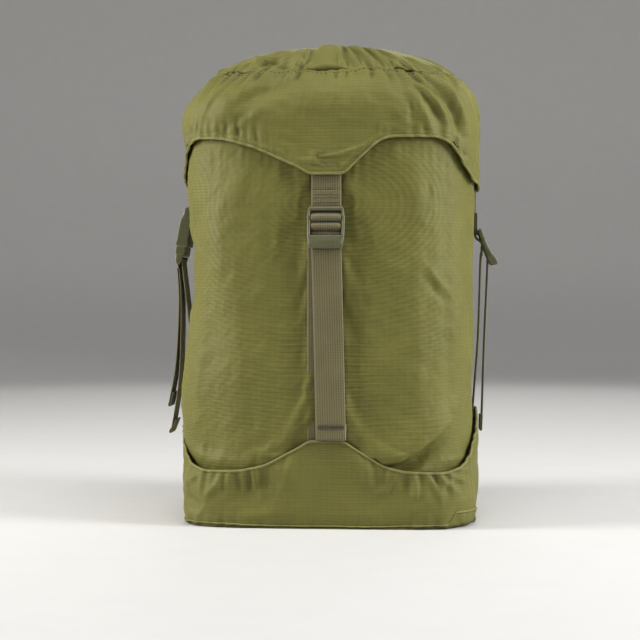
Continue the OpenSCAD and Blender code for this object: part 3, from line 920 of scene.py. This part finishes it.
def make_cap():
    skirt_moved, crown_moved = settle_cap()
    p, s = make_skirt(skirt_moved)
    make_crown(p[-1], crown_moved)
    hem("cap_hem", p[0], p[3], s, "cap", "cap_binding")
    normal = grid_normals(p)[-3]
    line = p[-3] + normal * 0.15
    stitches("cap_seam_stitches", line, normal, THREAD, spacing=3.6, length=2.0, radius=0.36, body="cap")


# ---------------------------------------- base cup

CORNER_TUCK = QUARTER / 2 + 16
TURN_ROWS = 9
PIPING_R = 0.85
CUP_FOLDS = [
    ([(86, 47), (96, 36), (104, 28)], 1.0, 2.2, 2.6),
    ([(80, 45), (86, 34), (90, 22)], 1.0, 2.2, 3.0),
    ([(92, 48), (106, 40), (118, 34)], 0.8, 2.0, 2.4),
    ([(70, 45), (72, 34), (70, 24)], 0.8, 3.0, 3.0),
    ([(54, 48), (50, 36), (42, 26)], 0.8, 3.0, 4.0),
    ([(102, 49), (116, 46), (128, 46)], 0.7, 2.5, 2.5),
    ([(-60, 47), (-56, 34), (-50, 22)], 0.7, 3.0, 3.0),
    ([(-84, 46), (-88, 34), (-96, 24)], 0.9, 3.0, 3.0),
    ([(-100, 46), (-110, 38), (-120, 32)], 0.8, 2.5, 3.0),
    ([(-100, 12), (-110, 20), (-124, 22)], -2.4, 7, 6),
    ([(18, 66), (30, 50), (36, 30)], 0.6, 4, 4),
    ([(-18, 66), (-30, 50), (-36, 30)], 0.6, 4, 4),
]


def cup_seam(s):
    """Height of the seam between the cup's wall and the base panel: it lifts round the corners."""
    return 2.0 + 1.5 * smooth(between_straps(s, 62), 0.35, 0.95) + 10.0 * near(s, CORNER_TUCK, 23, 15)


def cup_outline(phi, z):
    """Outline of the cup, boxier at the ground than at its edge."""
    return outline(phi, CUP, SQUARENESS + 2.4 * smooth(z, 70, 0))


def cup_relief(s, z, v):
    """Folds, gathers and puckers of the cup, flat under the straps."""
    relief = 2.3 * folds(s, z, CUP_FOLDS)
    relief += 1.5 * (puckers(s, 51, 8) - 0.5) * bell(cup_edge(s) - z - 8, 10) * between_straps(s, 40)
    relief += 1.1 * ripple(s, z, 60, 52) * smooth(v, 0, 0.3) * smooth(v, 1, 0.7) + 0.12 * ripple(s, z, 9, 53)
    relief += 1.2 * (puckers(s, 54, 10) - 0.5) * np.exp(-(z - cup_seam(s)) / 5)
    return relief * (1 - 0.9 * strap_valley(s, 20)) - 0.5 * strap_valley(s, 16)


def make_cup():
    s, v = ring_grid(52, 560)
    z = cup_seam(s) + (cup_edge(s) - cup_seam(s)) * v
    phi = angle_at(s)
    ends = np.clip(near(s, MID, 90, 30) + near(s, -MID, 90, 30), 0, 1)
    flare = 1.2 * smooth(z, 4, 60) - 1.5 * smooth(z, 12, 0) - 3.0 * smooth(z, 16, 0) * ends
    flare += 2.6 * smooth(z, -10, 40) * near(s, -FRONT_CORNER, 70, 10)
    p = ring_points(phi, cup_outline(phi, z) + flare, z)
    p = p + grid_normals(p) * cup_relief(s, z, v)[..., None]
    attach(shell("cup_wall_cloth", p, s, z, "cup_skirt"), "base")
    hem("cup_hem", p[-1], p[-4], s[0], "base", "cup_binding", direction=-1)
    make_base_panel(p[0], s[0])
    make_piping(p[0])


def make_base_panel(rim, s):
    """Panel under the sack: it turns up to the cup's seam and lies flat on the ground."""
    phi = angle_at(s)
    inset = 0.3 + 2.0 * smooth(between_straps(s, 62), 0.3, 0.95) + 4.0 * near(s, CORNER_TUCK, 24, 14)
    floor_out = cup_outline(phi, 0) - inset
    rows = []
    for turn in np.linspace(0, math.pi / 2, TURN_ROWS):
        out = floor_out + (np.hypot(rim[:, 0], rim[:, 1]) - 0.3 - floor_out) * math.cos(turn)
        rows.append(ring_points(phi, out, 0.35 + (rim[:, 2] - 0.35) * (1 - math.sin(turn))))
    for share in np.linspace(0.94, 0.0, 24):
        lift = 0.35 + 0.25 * np.abs(ripple(s, share * 90, 40, 61, count=8)) * (1 - abs(share - 0.5))
        rows.append(ring_points(phi, floor_out * max(share, 0.002), lift))
    p = np.stack(rows, 0)
    p[-1] = p[-1].mean(0)
    tuck = fold(np.broadcast_to(s, p.shape[:2]), p[..., 2], [(96, 9), (106, 5), (112, 0)], 1.2, 1.8, 1.8)
    p[:TURN_ROWS] += (grid_normals(p) * tuck[..., None])[:TURN_ROWS]
    level = np.cumsum(np.ones(p.shape[:2]) * 4, 0)
    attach(shell("base_panel_cloth", p[::-1], s[None, :], level, "base_panel"), "base")


def make_piping(rim):
    """Thin cord sewn into the seam round the base."""
    turn = circle(8)[:, None, None]
    outward = unit(rim * (1, 1, 0))
    p = rim + outward * (PIPING_R * np.cos(turn) + 0.1) + UP * PIPING_R * np.sin(turn)
    points = p.reshape(-1, 3)
    obj = new_mesh("base_piping", points, grid_faces(*p.shape[:2], looped=True), np.zeros((len(points), 2)))
    paint(obj, BINDING)
    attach(obj, "base")


# ---------------------------------------- webbing

WEB_W = 24.0
WEB_T = 1.3
RIBS = 11
PLY = WEB_T + 0.4
FOLDED = WEB_T + 0.1
LOAD_OUT = [wall + 0.4 + WEB_T / 2 for wall in WALL]
UPPER_OUT = [out + PLY for out in LOAD_OUT]
BAR_R = 1.6
WRAP_R = BAR_R + 0.1 + WEB_T / 2
BAR_PITCH = 7.0
LOCK_W = 30.0
SLOT_W = 25.6
LEAN = [0, 17, 0]
SEWN_W = 10.8
TACK_W = 10.5


def to_world(side, out, up, across=0.0):
    """Point of a side view, [out, up], with a distance across the strap."""
    o = OUTWARD[side]
    out, up, across = np.broadcast_arrays(out, up, across)
    return out[..., None] * o + up[..., None] * UP + across[..., None] * np.cross(UP, o)


def arc(centre, radius, start, end):
    turn = np.radians(np.linspace(start, end, 12))
    return [(centre[0] + radius * math.cos(t), centre[1] + radius * math.sin(t)) for t in turn]


def webbing(name, node, side, path, step, shift=0.0, drift=0.0):
    """Ribbed webbing along a path in the side view, shifted across; drift slides its far end across."""
    line = spline(path, step)
    tangent = unit(np.gradient(line, axis=0))
    normal = np.stack([-tangent[:, 1], tangent[:, 0]], 1)
    a = np.linspace(-WEB_W / 2, WEB_W / 2, 4 * RIBS + 1)
    rounded = np.sqrt(np.maximum(1 - np.abs(2 * a / WEB_W) ** 14, 0))
    half = WEB_T / 2 * (0.82 + 0.18 * np.abs(np.cos(math.pi * RIBS * (a / WEB_W + 0.5)))) * rounded
    half *= 1 + 0.10 * bell(np.abs(a) - WEB_W / 2 + 0.9, 0.7)
    across = np.concatenate([a, a[-2:0:-1]])
    off = np.concatenate([half, -half[-2:0:-1]])
    share = np.linspace(0, 1, len(line))[:, None]
    p = to_world(side, line[:, :1] + normal[:, :1] * off, line[:, 1:] + normal[:, 1:] * off,
                 across + shift + drift * share)
    rows, columns = p.shape[:2]
    uvs = np.stack(np.broadcast_arrays(across, run_along(line)[:, None]), 2).reshape(-1, 2)
    faces = grid_faces(rows, columns)
    for first in (0, (rows - 1) * columns):
        for k in range(len(a) - 1):
            corners = (k, k + 1, columns - k - 1, (columns - k) % columns)
            end = tuple(dict.fromkeys(first + corner for corner in corners))
            faces.append(end if first else end[::-1])
    obj = new_mesh(name, p.reshape(-1, 3), faces, uvs)
    paint(obj, WEBBING)
    if node:
        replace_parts(obj, node)
    return obj


def stitch_rows(side, out, heights, half_width, material, radius, across=0.0, spacing=2.4, length=1.9):
    """Rows of stitches across a strap, each a mesh of its own."""
    a = np.linspace(-half_width, half_width, 12) + across
    outward = np.repeat(OUTWARD[side][None], 12, 0)
    return [stitches("stitch_row", to_world(side, out, z, a), outward, material, spacing, length, radius,
                     closed=False) for z in heights]


def tab_tacks():
    """Bar tacks through the tabs of the cap and the cup."""
    cap_rows, cup_rows = [], []
    for side in range(4):
        wide = 1 - side % 2
        for rows, out, heights in (
                (cap_rows, CAP[wide] + 0.9, [CAP_TAB_Z[side] + lift for lift in (7, 9.2, 16, 18.2)]),
                (cup_rows, CUP[wide] + 1.9, [CUP_TAB_Z[side] - drop for drop in (7, 9.2, 15)])):
            rows += stitch_rows(side, out, heights, TACK_W, THREAD, radius=0.24, spacing=2.2, length=1.8)
    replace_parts(join("cap_tab_tacks", cap_rows, "cap"), "cap_bar_tacks")
    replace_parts(join("cup_tab_tacks", cup_rows, "base"), "cup_bar_tacks")


def leant(p, centre, angle):
    """Point of a side view after a lean that swings what hangs below the centre outward."""
    v = np.asarray(p, float) - centre
    c, s = math.cos(math.radians(angle)), math.sin(math.radians(angle))
    return centre + np.array([v[0] * c - v[1] * s, v[0] * s + v[1] * c])


def pivot(side):
    """Hinge bar of a ladder lock in the side view."""
    pos = np.array(JOINTS[SIDE_NAMES[side] + "_lock_tilt"]["pos_m"]) / MM
    return np.array([abs(pos @ OUTWARD[side]), pos[2]])


def on_lock(side, points):
    """Side-view points of a ladder lock, drawn from its hinge bar and leant with it."""
    return [leant(pivot(side) + point, pivot(side), LEAN[side]) for point in points]


def lock_bar(side, n):
    return on_lock(side, [(0, -n * BAR_PITCH)])[0]


def folded_end(path):
    """Adds a fold back on the inner side at the end of a tail's path."""
    p = [np.asarray(q, float) for q in path]
    run = unit(p[-1] - p[-2])
    side = np.array([run[1], -run[0]])
    side *= -np.sign(side[0])
    bend = WEB_T * 0.56
    tip = p[-1] - run * bend
    turned = [tip + bend * (run * math.sin(t) + side * (1 - math.cos(t))) for t in (0.8, 1.57, 2.4, 3.14)]
    back = tip + side * 2 * bend
    return p[:-1] + [tip - run * 3, tip] + turned + [back - run * 4, back - run * 12]


def upper_webbing(side, bar, leave, bend, start, outside, top):
    """Webbing sewn to the cap: down behind a bar, round it and back up on the outside to the height top.

    leave is how far above the bar it leaves the cap's wall, bend shifts a point half way from there, start is
    the angle at which it meets the bar, and outside holds heights above the bar on its way back up.
    """
    name = SIDE_NAMES[side]
    inner, outer = UPPER_OUT[side], UPPER_OUT[side] + FOLDED
    x, z = bar
    path = [(inner, CAP_TAB_Z[side] + 12), (inner, z + 14), (inner, z + leave),
            ((inner + x - WRAP_R) / 2 + bend[0], z + bend[1]), *arc(bar, WRAP_R, start, 430),
            *[(outer, z + lift) for lift in outside], (outer, top)]
    return webbing(name + "_upper_webbing", name + "_upper_strap", side, path, 0.9)


def make_strap(side):
    """Strap of the front, right or back: what is sewn to the cap, the wrap, the load strap and the tail."""
    name = SIDE_NAMES[side]
    cap_z, cup_z = CAP_TAB_Z[side], CUP_TAB_Z[side]
    b, c = lock_bar(side, 0), lock_bar(side, 1)
    sewn_top = min(b[1] + 22, cap_z - 2)
    upper = upper_webbing(side, b, 5, (-0.4, 0.6), 215, (5.3, 9), sewn_top)
    blend_up(upper, b[1] + 11, b[1] + 3.5)
    hang = on_lock(side, [(0.85, -BAR_PITCH - 7)])[0]
    wrap = webbing(name + "_wrap_webbing", name + "_lock_wrap", side, [
        c + (-WRAP_R - 0.3, -8), c + (-WRAP_R, -3), *arc(c, WRAP_R, 180, -95),
        hang + (-0.9, 1.8), hang - (0, 3)], 0.8)
    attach(wrap, name + "_lock")
    x, top = LOAD_OUT[side], hang + (0, 2)
    if side == RIGHT:
        load_path = [(x, cup_z - 26), (x, cup_z - 4), (x + 1.2, cup_z + 14), (x + 4.6, cup_z + 60),
                     c + (-WRAP_R - 1.0, -12), c + (-WRAP_R - 0.2, -5)]
        tail_path = [top, top - (0.4, 18), top - (2.6, 70), top - (4.2, 118), (WALL[side] + 8.6, 71)]
    else:
        load_path = [(x, cup_z - 26), (x, cup_z + 4), (x + 0.2, 150), (x + 0.4, c[1] - 16),
                     c + (-WRAP_R - 1.2, -7), c + (-WRAP_R - 0.2, -2)]
        tail_path = [top, top - (0.2, 20), top - (1.4, 80), top - (1.0, 130), (top[0] - 0.3, 72)]
    shift, drift, middle = (-3.6, 4.3, 4.1) if side == FRONT else (0, 1.0, 0.9)
    load = webbing(name + "_load_webbing", name + "_load_strap", side, load_path, 1.6, shift)
    blend_up(load, cup_z + 4, c[1] - 6)
    tail = webbing(name + "_tail_webbing", name + "_tail", side, folded_end(tail_path), 1.2, drift=drift)
    blend_up(tail, top[1] - 6, 96)
    out = tail_path[-1][0] + WEB_T / 2 + 0.1
    rows = stitch_rows(side, out, (81.6, 83.4), SEWN_W, THREAD_DARK, radius=0.48, across=middle)
    join(name + "_fold_stitches", rows, name + "_tail")
    heights = [sewn_top - drop for drop in (3, 5.4, 9.4, 11.8) if sewn_top - drop > b[1] + 11]
    out = UPPER_OUT[side] + FOLDED + WEB_T / 2 + 0.05
    rows = stitch_rows(side, out, heights, SEWN_W, THREAD_PALE, radius=0.3)
    join(name + "_sewn_stitches", rows, "cap")


# ---------------------------------------- moulded parts

# half width of a ladder lock at heights from its hinge bar
LOCK_OUTLINE = [
    (-24.6, 12.9), (-22, 13.7), (-16, 14.7), (-10, 15.0), (0, 15.0), (5, 14.7), (7.4, 14.1), (8.8, 12.9)]


def prism(side, profile, width, centre=0.0):
    """Solid with a side-view profile and a width across."""
    x, z = np.asarray(profile, float).T
    count = len(x)
    verts = np.vstack([to_world(side, x, z, centre - width / 2), to_world(side, x, z, centre + width / 2)])
    faces = [tuple(range(count))[::-1], tuple(range(count, 2 * count))]
    return verts, faces + [(i, (i + 1) % count, count + (i + 1) % count, count + i) for i in range(count)]


def oval(x, z, half_wide, half_tall, count=20):
    return [(x + half_wide * math.cos(t), z + half_tall * math.sin(t)) for t in circle(count)]


def rod(side, centre, width, radius=BAR_R):
    return prism(side, oval(*centre, radius, radius), width)


def fused(name, solids, voxel):
    """One mesh round overlapping solids."""
    made = []
    for verts, faces in solids:
        obj = new_mesh(name, verts, faces)
        bm = bmesh.new()
        bm.from_mesh(obj.data)
        bmesh.ops.recalc_face_normals(bm, faces=bm.faces)
        bm.to_mesh(obj.data)
        bm.free()
        made.append(obj)
    body = join(name, made)
    modify(body, "REMESH", mode="VOXEL", voxel_size=voxel * MM)
    return body


def moulded(name, node, body, solids, cuts=(), voxel=0.42, smoothing=3):
    """Moulding of overlapping solids with rounded edges, in place of a CAD node."""
    obj = fused(name, solids, voxel)
    if cuts:
        cutter = fused(name + "_cut", cuts, voxel)
        modify(obj, "BOOLEAN", operation="DIFFERENCE", solver="FAST", object=cutter)
        modify(obj, "REMESH", mode="VOXEL", voxel_size=voxel * MM)
        bpy.data.objects.remove(cutter)
    modify(obj, "SMOOTH", factor=0.6, iterations=smoothing)
    obj.data.shade_smooth()
    paint(obj, PLASTIC_FINISH)
    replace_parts(obj, node)
    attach(obj, body)
    return obj


def make_ladder_lock(side):
    rail_w = (LOCK_W - SLOT_W) / 2 - 0.3
    rail = loop([(-1.4, 8.7), (1.2, 8.8), (2.0, 3), (2.5, -4), (3.9, -12), (6.2, -20), (6.3, -23.2),
                 (4.6, -24.2), (0.6, -22.8), (-1.4, -10), (-1.7, 2)], 1.1)
    bulge = loop([(-0.9, 3), (1.4, 1), (2.0, -8), (3.8, -15), (2, -16), (-0.4, -9)], 1.1)
    solids = []
    for end in (-1, 1):
        solids.append(prism(side, on_lock(side, rail), rail_w, end * (SLOT_W + rail_w) / 2))
        solids.append(prism(side, on_lock(side, bulge), rail_w, end * (SLOT_W + rail_w + 0.7) / 2))
    for n, radius in ((-1, BAR_R + 0.25), (0, BAR_R), (1, BAR_R)):
        solids.append(rod(side, lock_bar(side, n), SLOT_W + 1.6, radius))
    layers = 9
    width = (SLOT_W + 2.4) / layers
    for share in np.linspace(0, 1, layers):
        swell = 0.9 * (1 - (2 * share - 1) ** 2)
        tab = on_lock(side, [(2.6, -14.4), (4.3 + 0.4 * swell, -14.2), (5.4 + swell, -18.5),
                             (6.5 + 0.5 * swell, -22.6), (6.1, -24.6), (4.8, -24.6), (4.0, -20)])
        solids.append(prism(side, tab, width + 0.3, (share - 0.5) * (SLOT_W + 2.4 - width)))
    name = SIDE_NAMES[side]
    lock = moulded(name + "_lock_moulding", name + "_ladder_lock", name + "_lock", solids, (), 0.36, 4)
    taper_lock(lock.data, side)


def taper_lock(mesh, side):
    """Rounds a lock's top corners and narrows it towards its tab, seen from the front."""
    co = vertices_of(mesh)
    o, t = OUTWARD[side], np.cross(UP, OUTWARD[side])
    lateral, out = co @ t, co @ o
    x, z = pivot(side)
    lean = math.radians(LEAN[side])
    height = (co[:, 2] - z) * math.cos(lean) - (out - x) * math.sin(lean)
    keep = 12.0
    limit = np.interp(height, *np.array(LOCK_OUTLINE).T)
    beyond = np.maximum(np.abs(lateral) - keep, 0)
    squeezed = np.minimum(np.abs(lateral), keep) + beyond * (limit - keep) / (LOCK_W / 2 - keep)
    co += (np.sign(lateral) * squeezed - lateral)[:, None] * t
    mesh.vertices.foreach_set("co", (co * MM).ravel())


# ---------------------------------------- side-release buckle

CLIP_LEAN = math.degrees(math.asin(-JOINTS["clip_release"]["axis"][0]))
CLIP_TOP = np.array([WALL[LEFT] + 6.6, 263.0])
CLIP_W = 34.0
ARM_W = 4.2
PLUG_BAR = (0, -47)
SOCKET_BAR = (0, -3)


def clip(points):
    """Side-view points of the buckle, drawn hanging from the middle of its top edge."""
    return [leant(CLIP_TOP + point, CLIP_TOP, CLIP_LEAN) for point in points]


def block(points, width, centre=0.0):
    return prism(LEFT, clip(points), width, centre)


def slab(near_x, far_x, z, end_z, width, centre=0.0):
    return block([(near_x, z), (far_x, z), (far_x, end_z), (near_x, end_z)], width, centre)


def arms_and_bar(points, bar):
    """Two arms with a webbing bar between them."""
    arms = [block(points, ARM_W, end * (SLOT_W / 2 + ARM_W / 2)) for end in (-1, 1)]
    return arms + [rod(LEFT, clip([bar])[0], SLOT_W + 3)]


def make_buckle():
    case = loop([(-2.6, -6.4), (2.6, -6.4), (4.6, -12), (5.0, -20), (5.0, -28), (4.6, -33.8), (-4.6, -33.8),
                 (-4.8, -28), (-4.8, -20), (-4.2, -12)], 1.2)
    arm = [(-2.6, -9), (2.6, -9), (2.4, -0.8), (1.4, 0), (-1.4, 0), (-2.4, -0.8)]
    socket = [block(case, CLIP_W - 0.6), *arms_and_bar(arm, SOCKET_BAR), slab(-5.1, 5.3, -31, -34, CLIP_W)]
    hollow, window = slab(-3.2, 3.2, -10, -36, CLIP_W - 5), block(oval(0, -21, 3.1, 8.2, 28), CLIP_W + 6)
    recess = slab(4.3, 7, -13, -27, 16)
    moulded("buckle_socket_moulding", "buckle_socket", "cap", socket, [hollow, window, recess])

    grip = loop([(-3.6, -34.3), (3.8, -34.3), (4.4, -38), (3.6, -43), (-3.0, -43), (-3.8, -38)], 1.0)
    arm = [(-2.6, -41), (3.0, -41), (3.2, -47), (1.6, -50), (-1.2, -50), (-2.6, -46)]
    plug = [block(grip, CLIP_W - 1.0), *arms_and_bar(arm, PLUG_BAR),
            rod(LEFT, clip([(0.4, -42.4)])[0], SLOT_W + 3, 1.5), slab(-1.5, 1.5, -14, -36, 5)]
    moulded("buckle_plug_moulding", "buckle_plug", "plug", plug, voxel=0.45)

    for end, word in ((-1, "front"), (1, "back")):
        stem = slab(-1.6, 1.6, -37, -17, 2.4, end * -11.5)
        pad = block(oval(0, -22, 2.2, 7.0, 24), 4.4, end * -13.9)
        root = slab(-2.2, 2.2, -35, -39, 3.6, end * -11.5)
        moulded(f"prong_{word}_moulding", f"plug_prong_{word}", f"prong_{word}", [stem, pad, root],
                voxel=0.4, smoothing=4)


def make_left_webbing():
    """Left strap: what is sewn to the cap, the load strap, the wrap round the plug's bar and both tails."""
    cap_z, cup_z = CAP_TAB_Z[LEFT], CUP_TAB_Z[LEFT]
    b, hang = clip([SOCKET_BAR, PLUG_BAR])
    upper = upper_webbing(LEFT, b, 7, (-0.3, 1), 200, (6.5, 10), cap_z - 1)
    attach(upper, "cap")
    x = LOAD_OUT[LEFT]
    load = webbing("left_load_webbing", "left_load_strap", LEFT, [
        (x, cup_z - 26), (x, cup_z - 4), (x + 1.4, cup_z + 14), (x + 4.2, 150.0), hang + (-3.4, -12),
        hang + (-2.4, -2)], 1.6)
    blend_up(load, cup_z + 4, hang[1] - 4)
    wrap = webbing("left_plug_wrap", None, LEFT, [
        hang + (-WRAP_R - 0.2, -7), *arc(hang, WRAP_R, 180, -40), hang + (1.2, -4.6), hang + (0.2, -9)], 0.8)
    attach(wrap, "plug")
    start = hang + (0.4, -6)
    for name, path in (
            ("left_long", [(0, 0), (-1.6, -26), (-1.4, -62), (0.6, -100), (6.2, -136), (9.0, -143)]),
            ("left_short", [(1.5, 0), (0.1, -26), (1.2, -58), (3.6, -88), (8.4, -114), (9.8, -120)])):
        points = folded_end([start + step for step in path])
        tail = webbing(name + "_webbing", name + "_tail", LEFT, points, 1.2)
        blend_up(tail, start[1] - 4, 110)


# ---------------------------------------- cord lock and neck

def finish_inner_parts():
    """The drawcord, its lock and the neck of the sack keep their CAD shapes."""
    for node, material in {
        "neck_collar": NYLON, "neck_channel": NYLON, "drawcord": CORD, "cord_knot": CORD,
        "cord_lock_barrel": PLASTIC_FINISH, "cord_lock_plunger": PLASTIC_FINISH,
    }.items():
        materials = frame["nodes"][node].data.materials
        materials.clear()
        materials.append(material)


def make_coil():
    """Coil spring of the cord lock."""
    wire, turns, steps, sections = 0.3, 3.5, 110, 10
    lo, hi = node_box("cord_lock_spring")
    tall = hi[2] - lo[2]
    radius = (hi[1] - lo[1]) / 2 - wire
    t = np.linspace(0, 1, steps)
    angle = 2 * math.pi * turns * t
    out = ring_points(angle, 1, 0 * t)
    line = (lo + hi) / 2 * (1, 1, 0) + out * radius + UP * (lo[2] + wire + (tall - 2 * wire) * t[:, None])
    turn = circle(sections)[None, :, None]
    points = (line[:, None] + wire * (np.cos(turn) * out[:, None] + np.sin(turn) * UP)).reshape(-1, 3)
    ends = [tuple(range(sections)), tuple(range(len(points) - sections, len(points)))[::-1]]
    coil = new_mesh("cord_lock_coil", points, grid_faces(steps, sections) + ends, np.zeros((len(points), 2)))
    paint(coil, STEEL)
    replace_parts(coil, "cord_lock_spring")
    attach(coil, "cord_lock")
    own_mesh(coil)


# ---------------------------------------- studio

LIGHTS = [
    ("key_left", (-1.55, -0.42, 0.8), (0, 0, 0.2), (0.5, 1.0), 35, (1.0, 0.985, 0.95)),
    ("fill_right", (1.6, -0.42, 0.8), (0, 0, 0.2), (0.5, 1.0), 35, (0.98, 0.99, 1.0)),
    ("top", (0.1, -0.45, 1.6), (0, 0, 0.25), (1.1, 0.8), 13, (1, 1, 1)),
    ("back_rim", (0.2, 1.5, 1.2), (0, 0, 0.25), (1.4, 0.8), 8, (1, 1, 1)),
]
FLOOR = (0.60, 0.59, 0.575, 1)


def aimed(name, data, location, target):
    obj = bpy.data.objects.new(name, data)
    obj.location = location
    obj.rotation_euler = (Vector(target) - Vector(location)).to_track_quat("-Z", "Y").to_euler()
    bpy.context.scene.collection.objects.link(obj)
    return obj


def make_studio():
    """Pale floor that curves up behind the sack, a dim sky and four soft lights."""
    n = Nodes("studio_floor")
    grain = n.noise(n.coordinates()[0], 30, 4)
    n.set(Base_Color=n.tint(FLOOR, 0.97 + grain * 0.06), Roughness=0.75)
    profile = spline([(0.0, 0.0), (1.5, 0.0), (2.4, 0.02), (3.1, 0.3), (3.5, 1.0), (3.65, 2.6)], 0.1)
    turns = 96
    points = [(r * math.cos(a), r * math.sin(a), z) for r, z in profile / MM for a in circle(turns)]
    floor = new_mesh("studio_floor", points, grid_faces(len(profile), turns))
    floor.data.materials.append(n.material)
    world = bpy.data.worlds.new("studio")
    world.use_nodes = True
    background = world.node_tree.nodes["Background"]
    background.inputs["Color"].default_value = (0.9, 0.92, 0.95, 1)
    background.inputs["Strength"].default_value = 0.13
    bpy.context.scene.world = world
    for name, location, target, size, power, colour in LIGHTS:
        data = bpy.data.lights.new(name, "AREA")
        data.shape = "RECTANGLE"
        data.size, data.size_y = size
        data.energy = power
        data.color = colour
        aimed(name, data, location, target)


def make_camera():
    """Nearly straight on at the sack's mid-height, a few degrees round to the right."""
    distance, swing, height = 1.30, math.radians(3.36), 0.192
    data = bpy.data.cameras.new("camera")
    data.sensor_width = 36
    data.lens = 84
    location = (distance * math.sin(swing), -distance * math.cos(swing), height)
    bpy.context.scene.camera = aimed("camera", data, location, (-0.0123, 0.0, height - 0.0265))
    bpy.context.scene.view_settings.view_transform = "Standard"


make_body()
make_cap()
make_cup()
for strap_side in (FRONT, RIGHT, BACK):
    make_strap(strap_side)
    make_ladder_lock(strap_side)
make_left_webbing()
make_buckle()
tab_tacks()
finish_inner_parts()
make_coil()
make_studio()
make_camera()
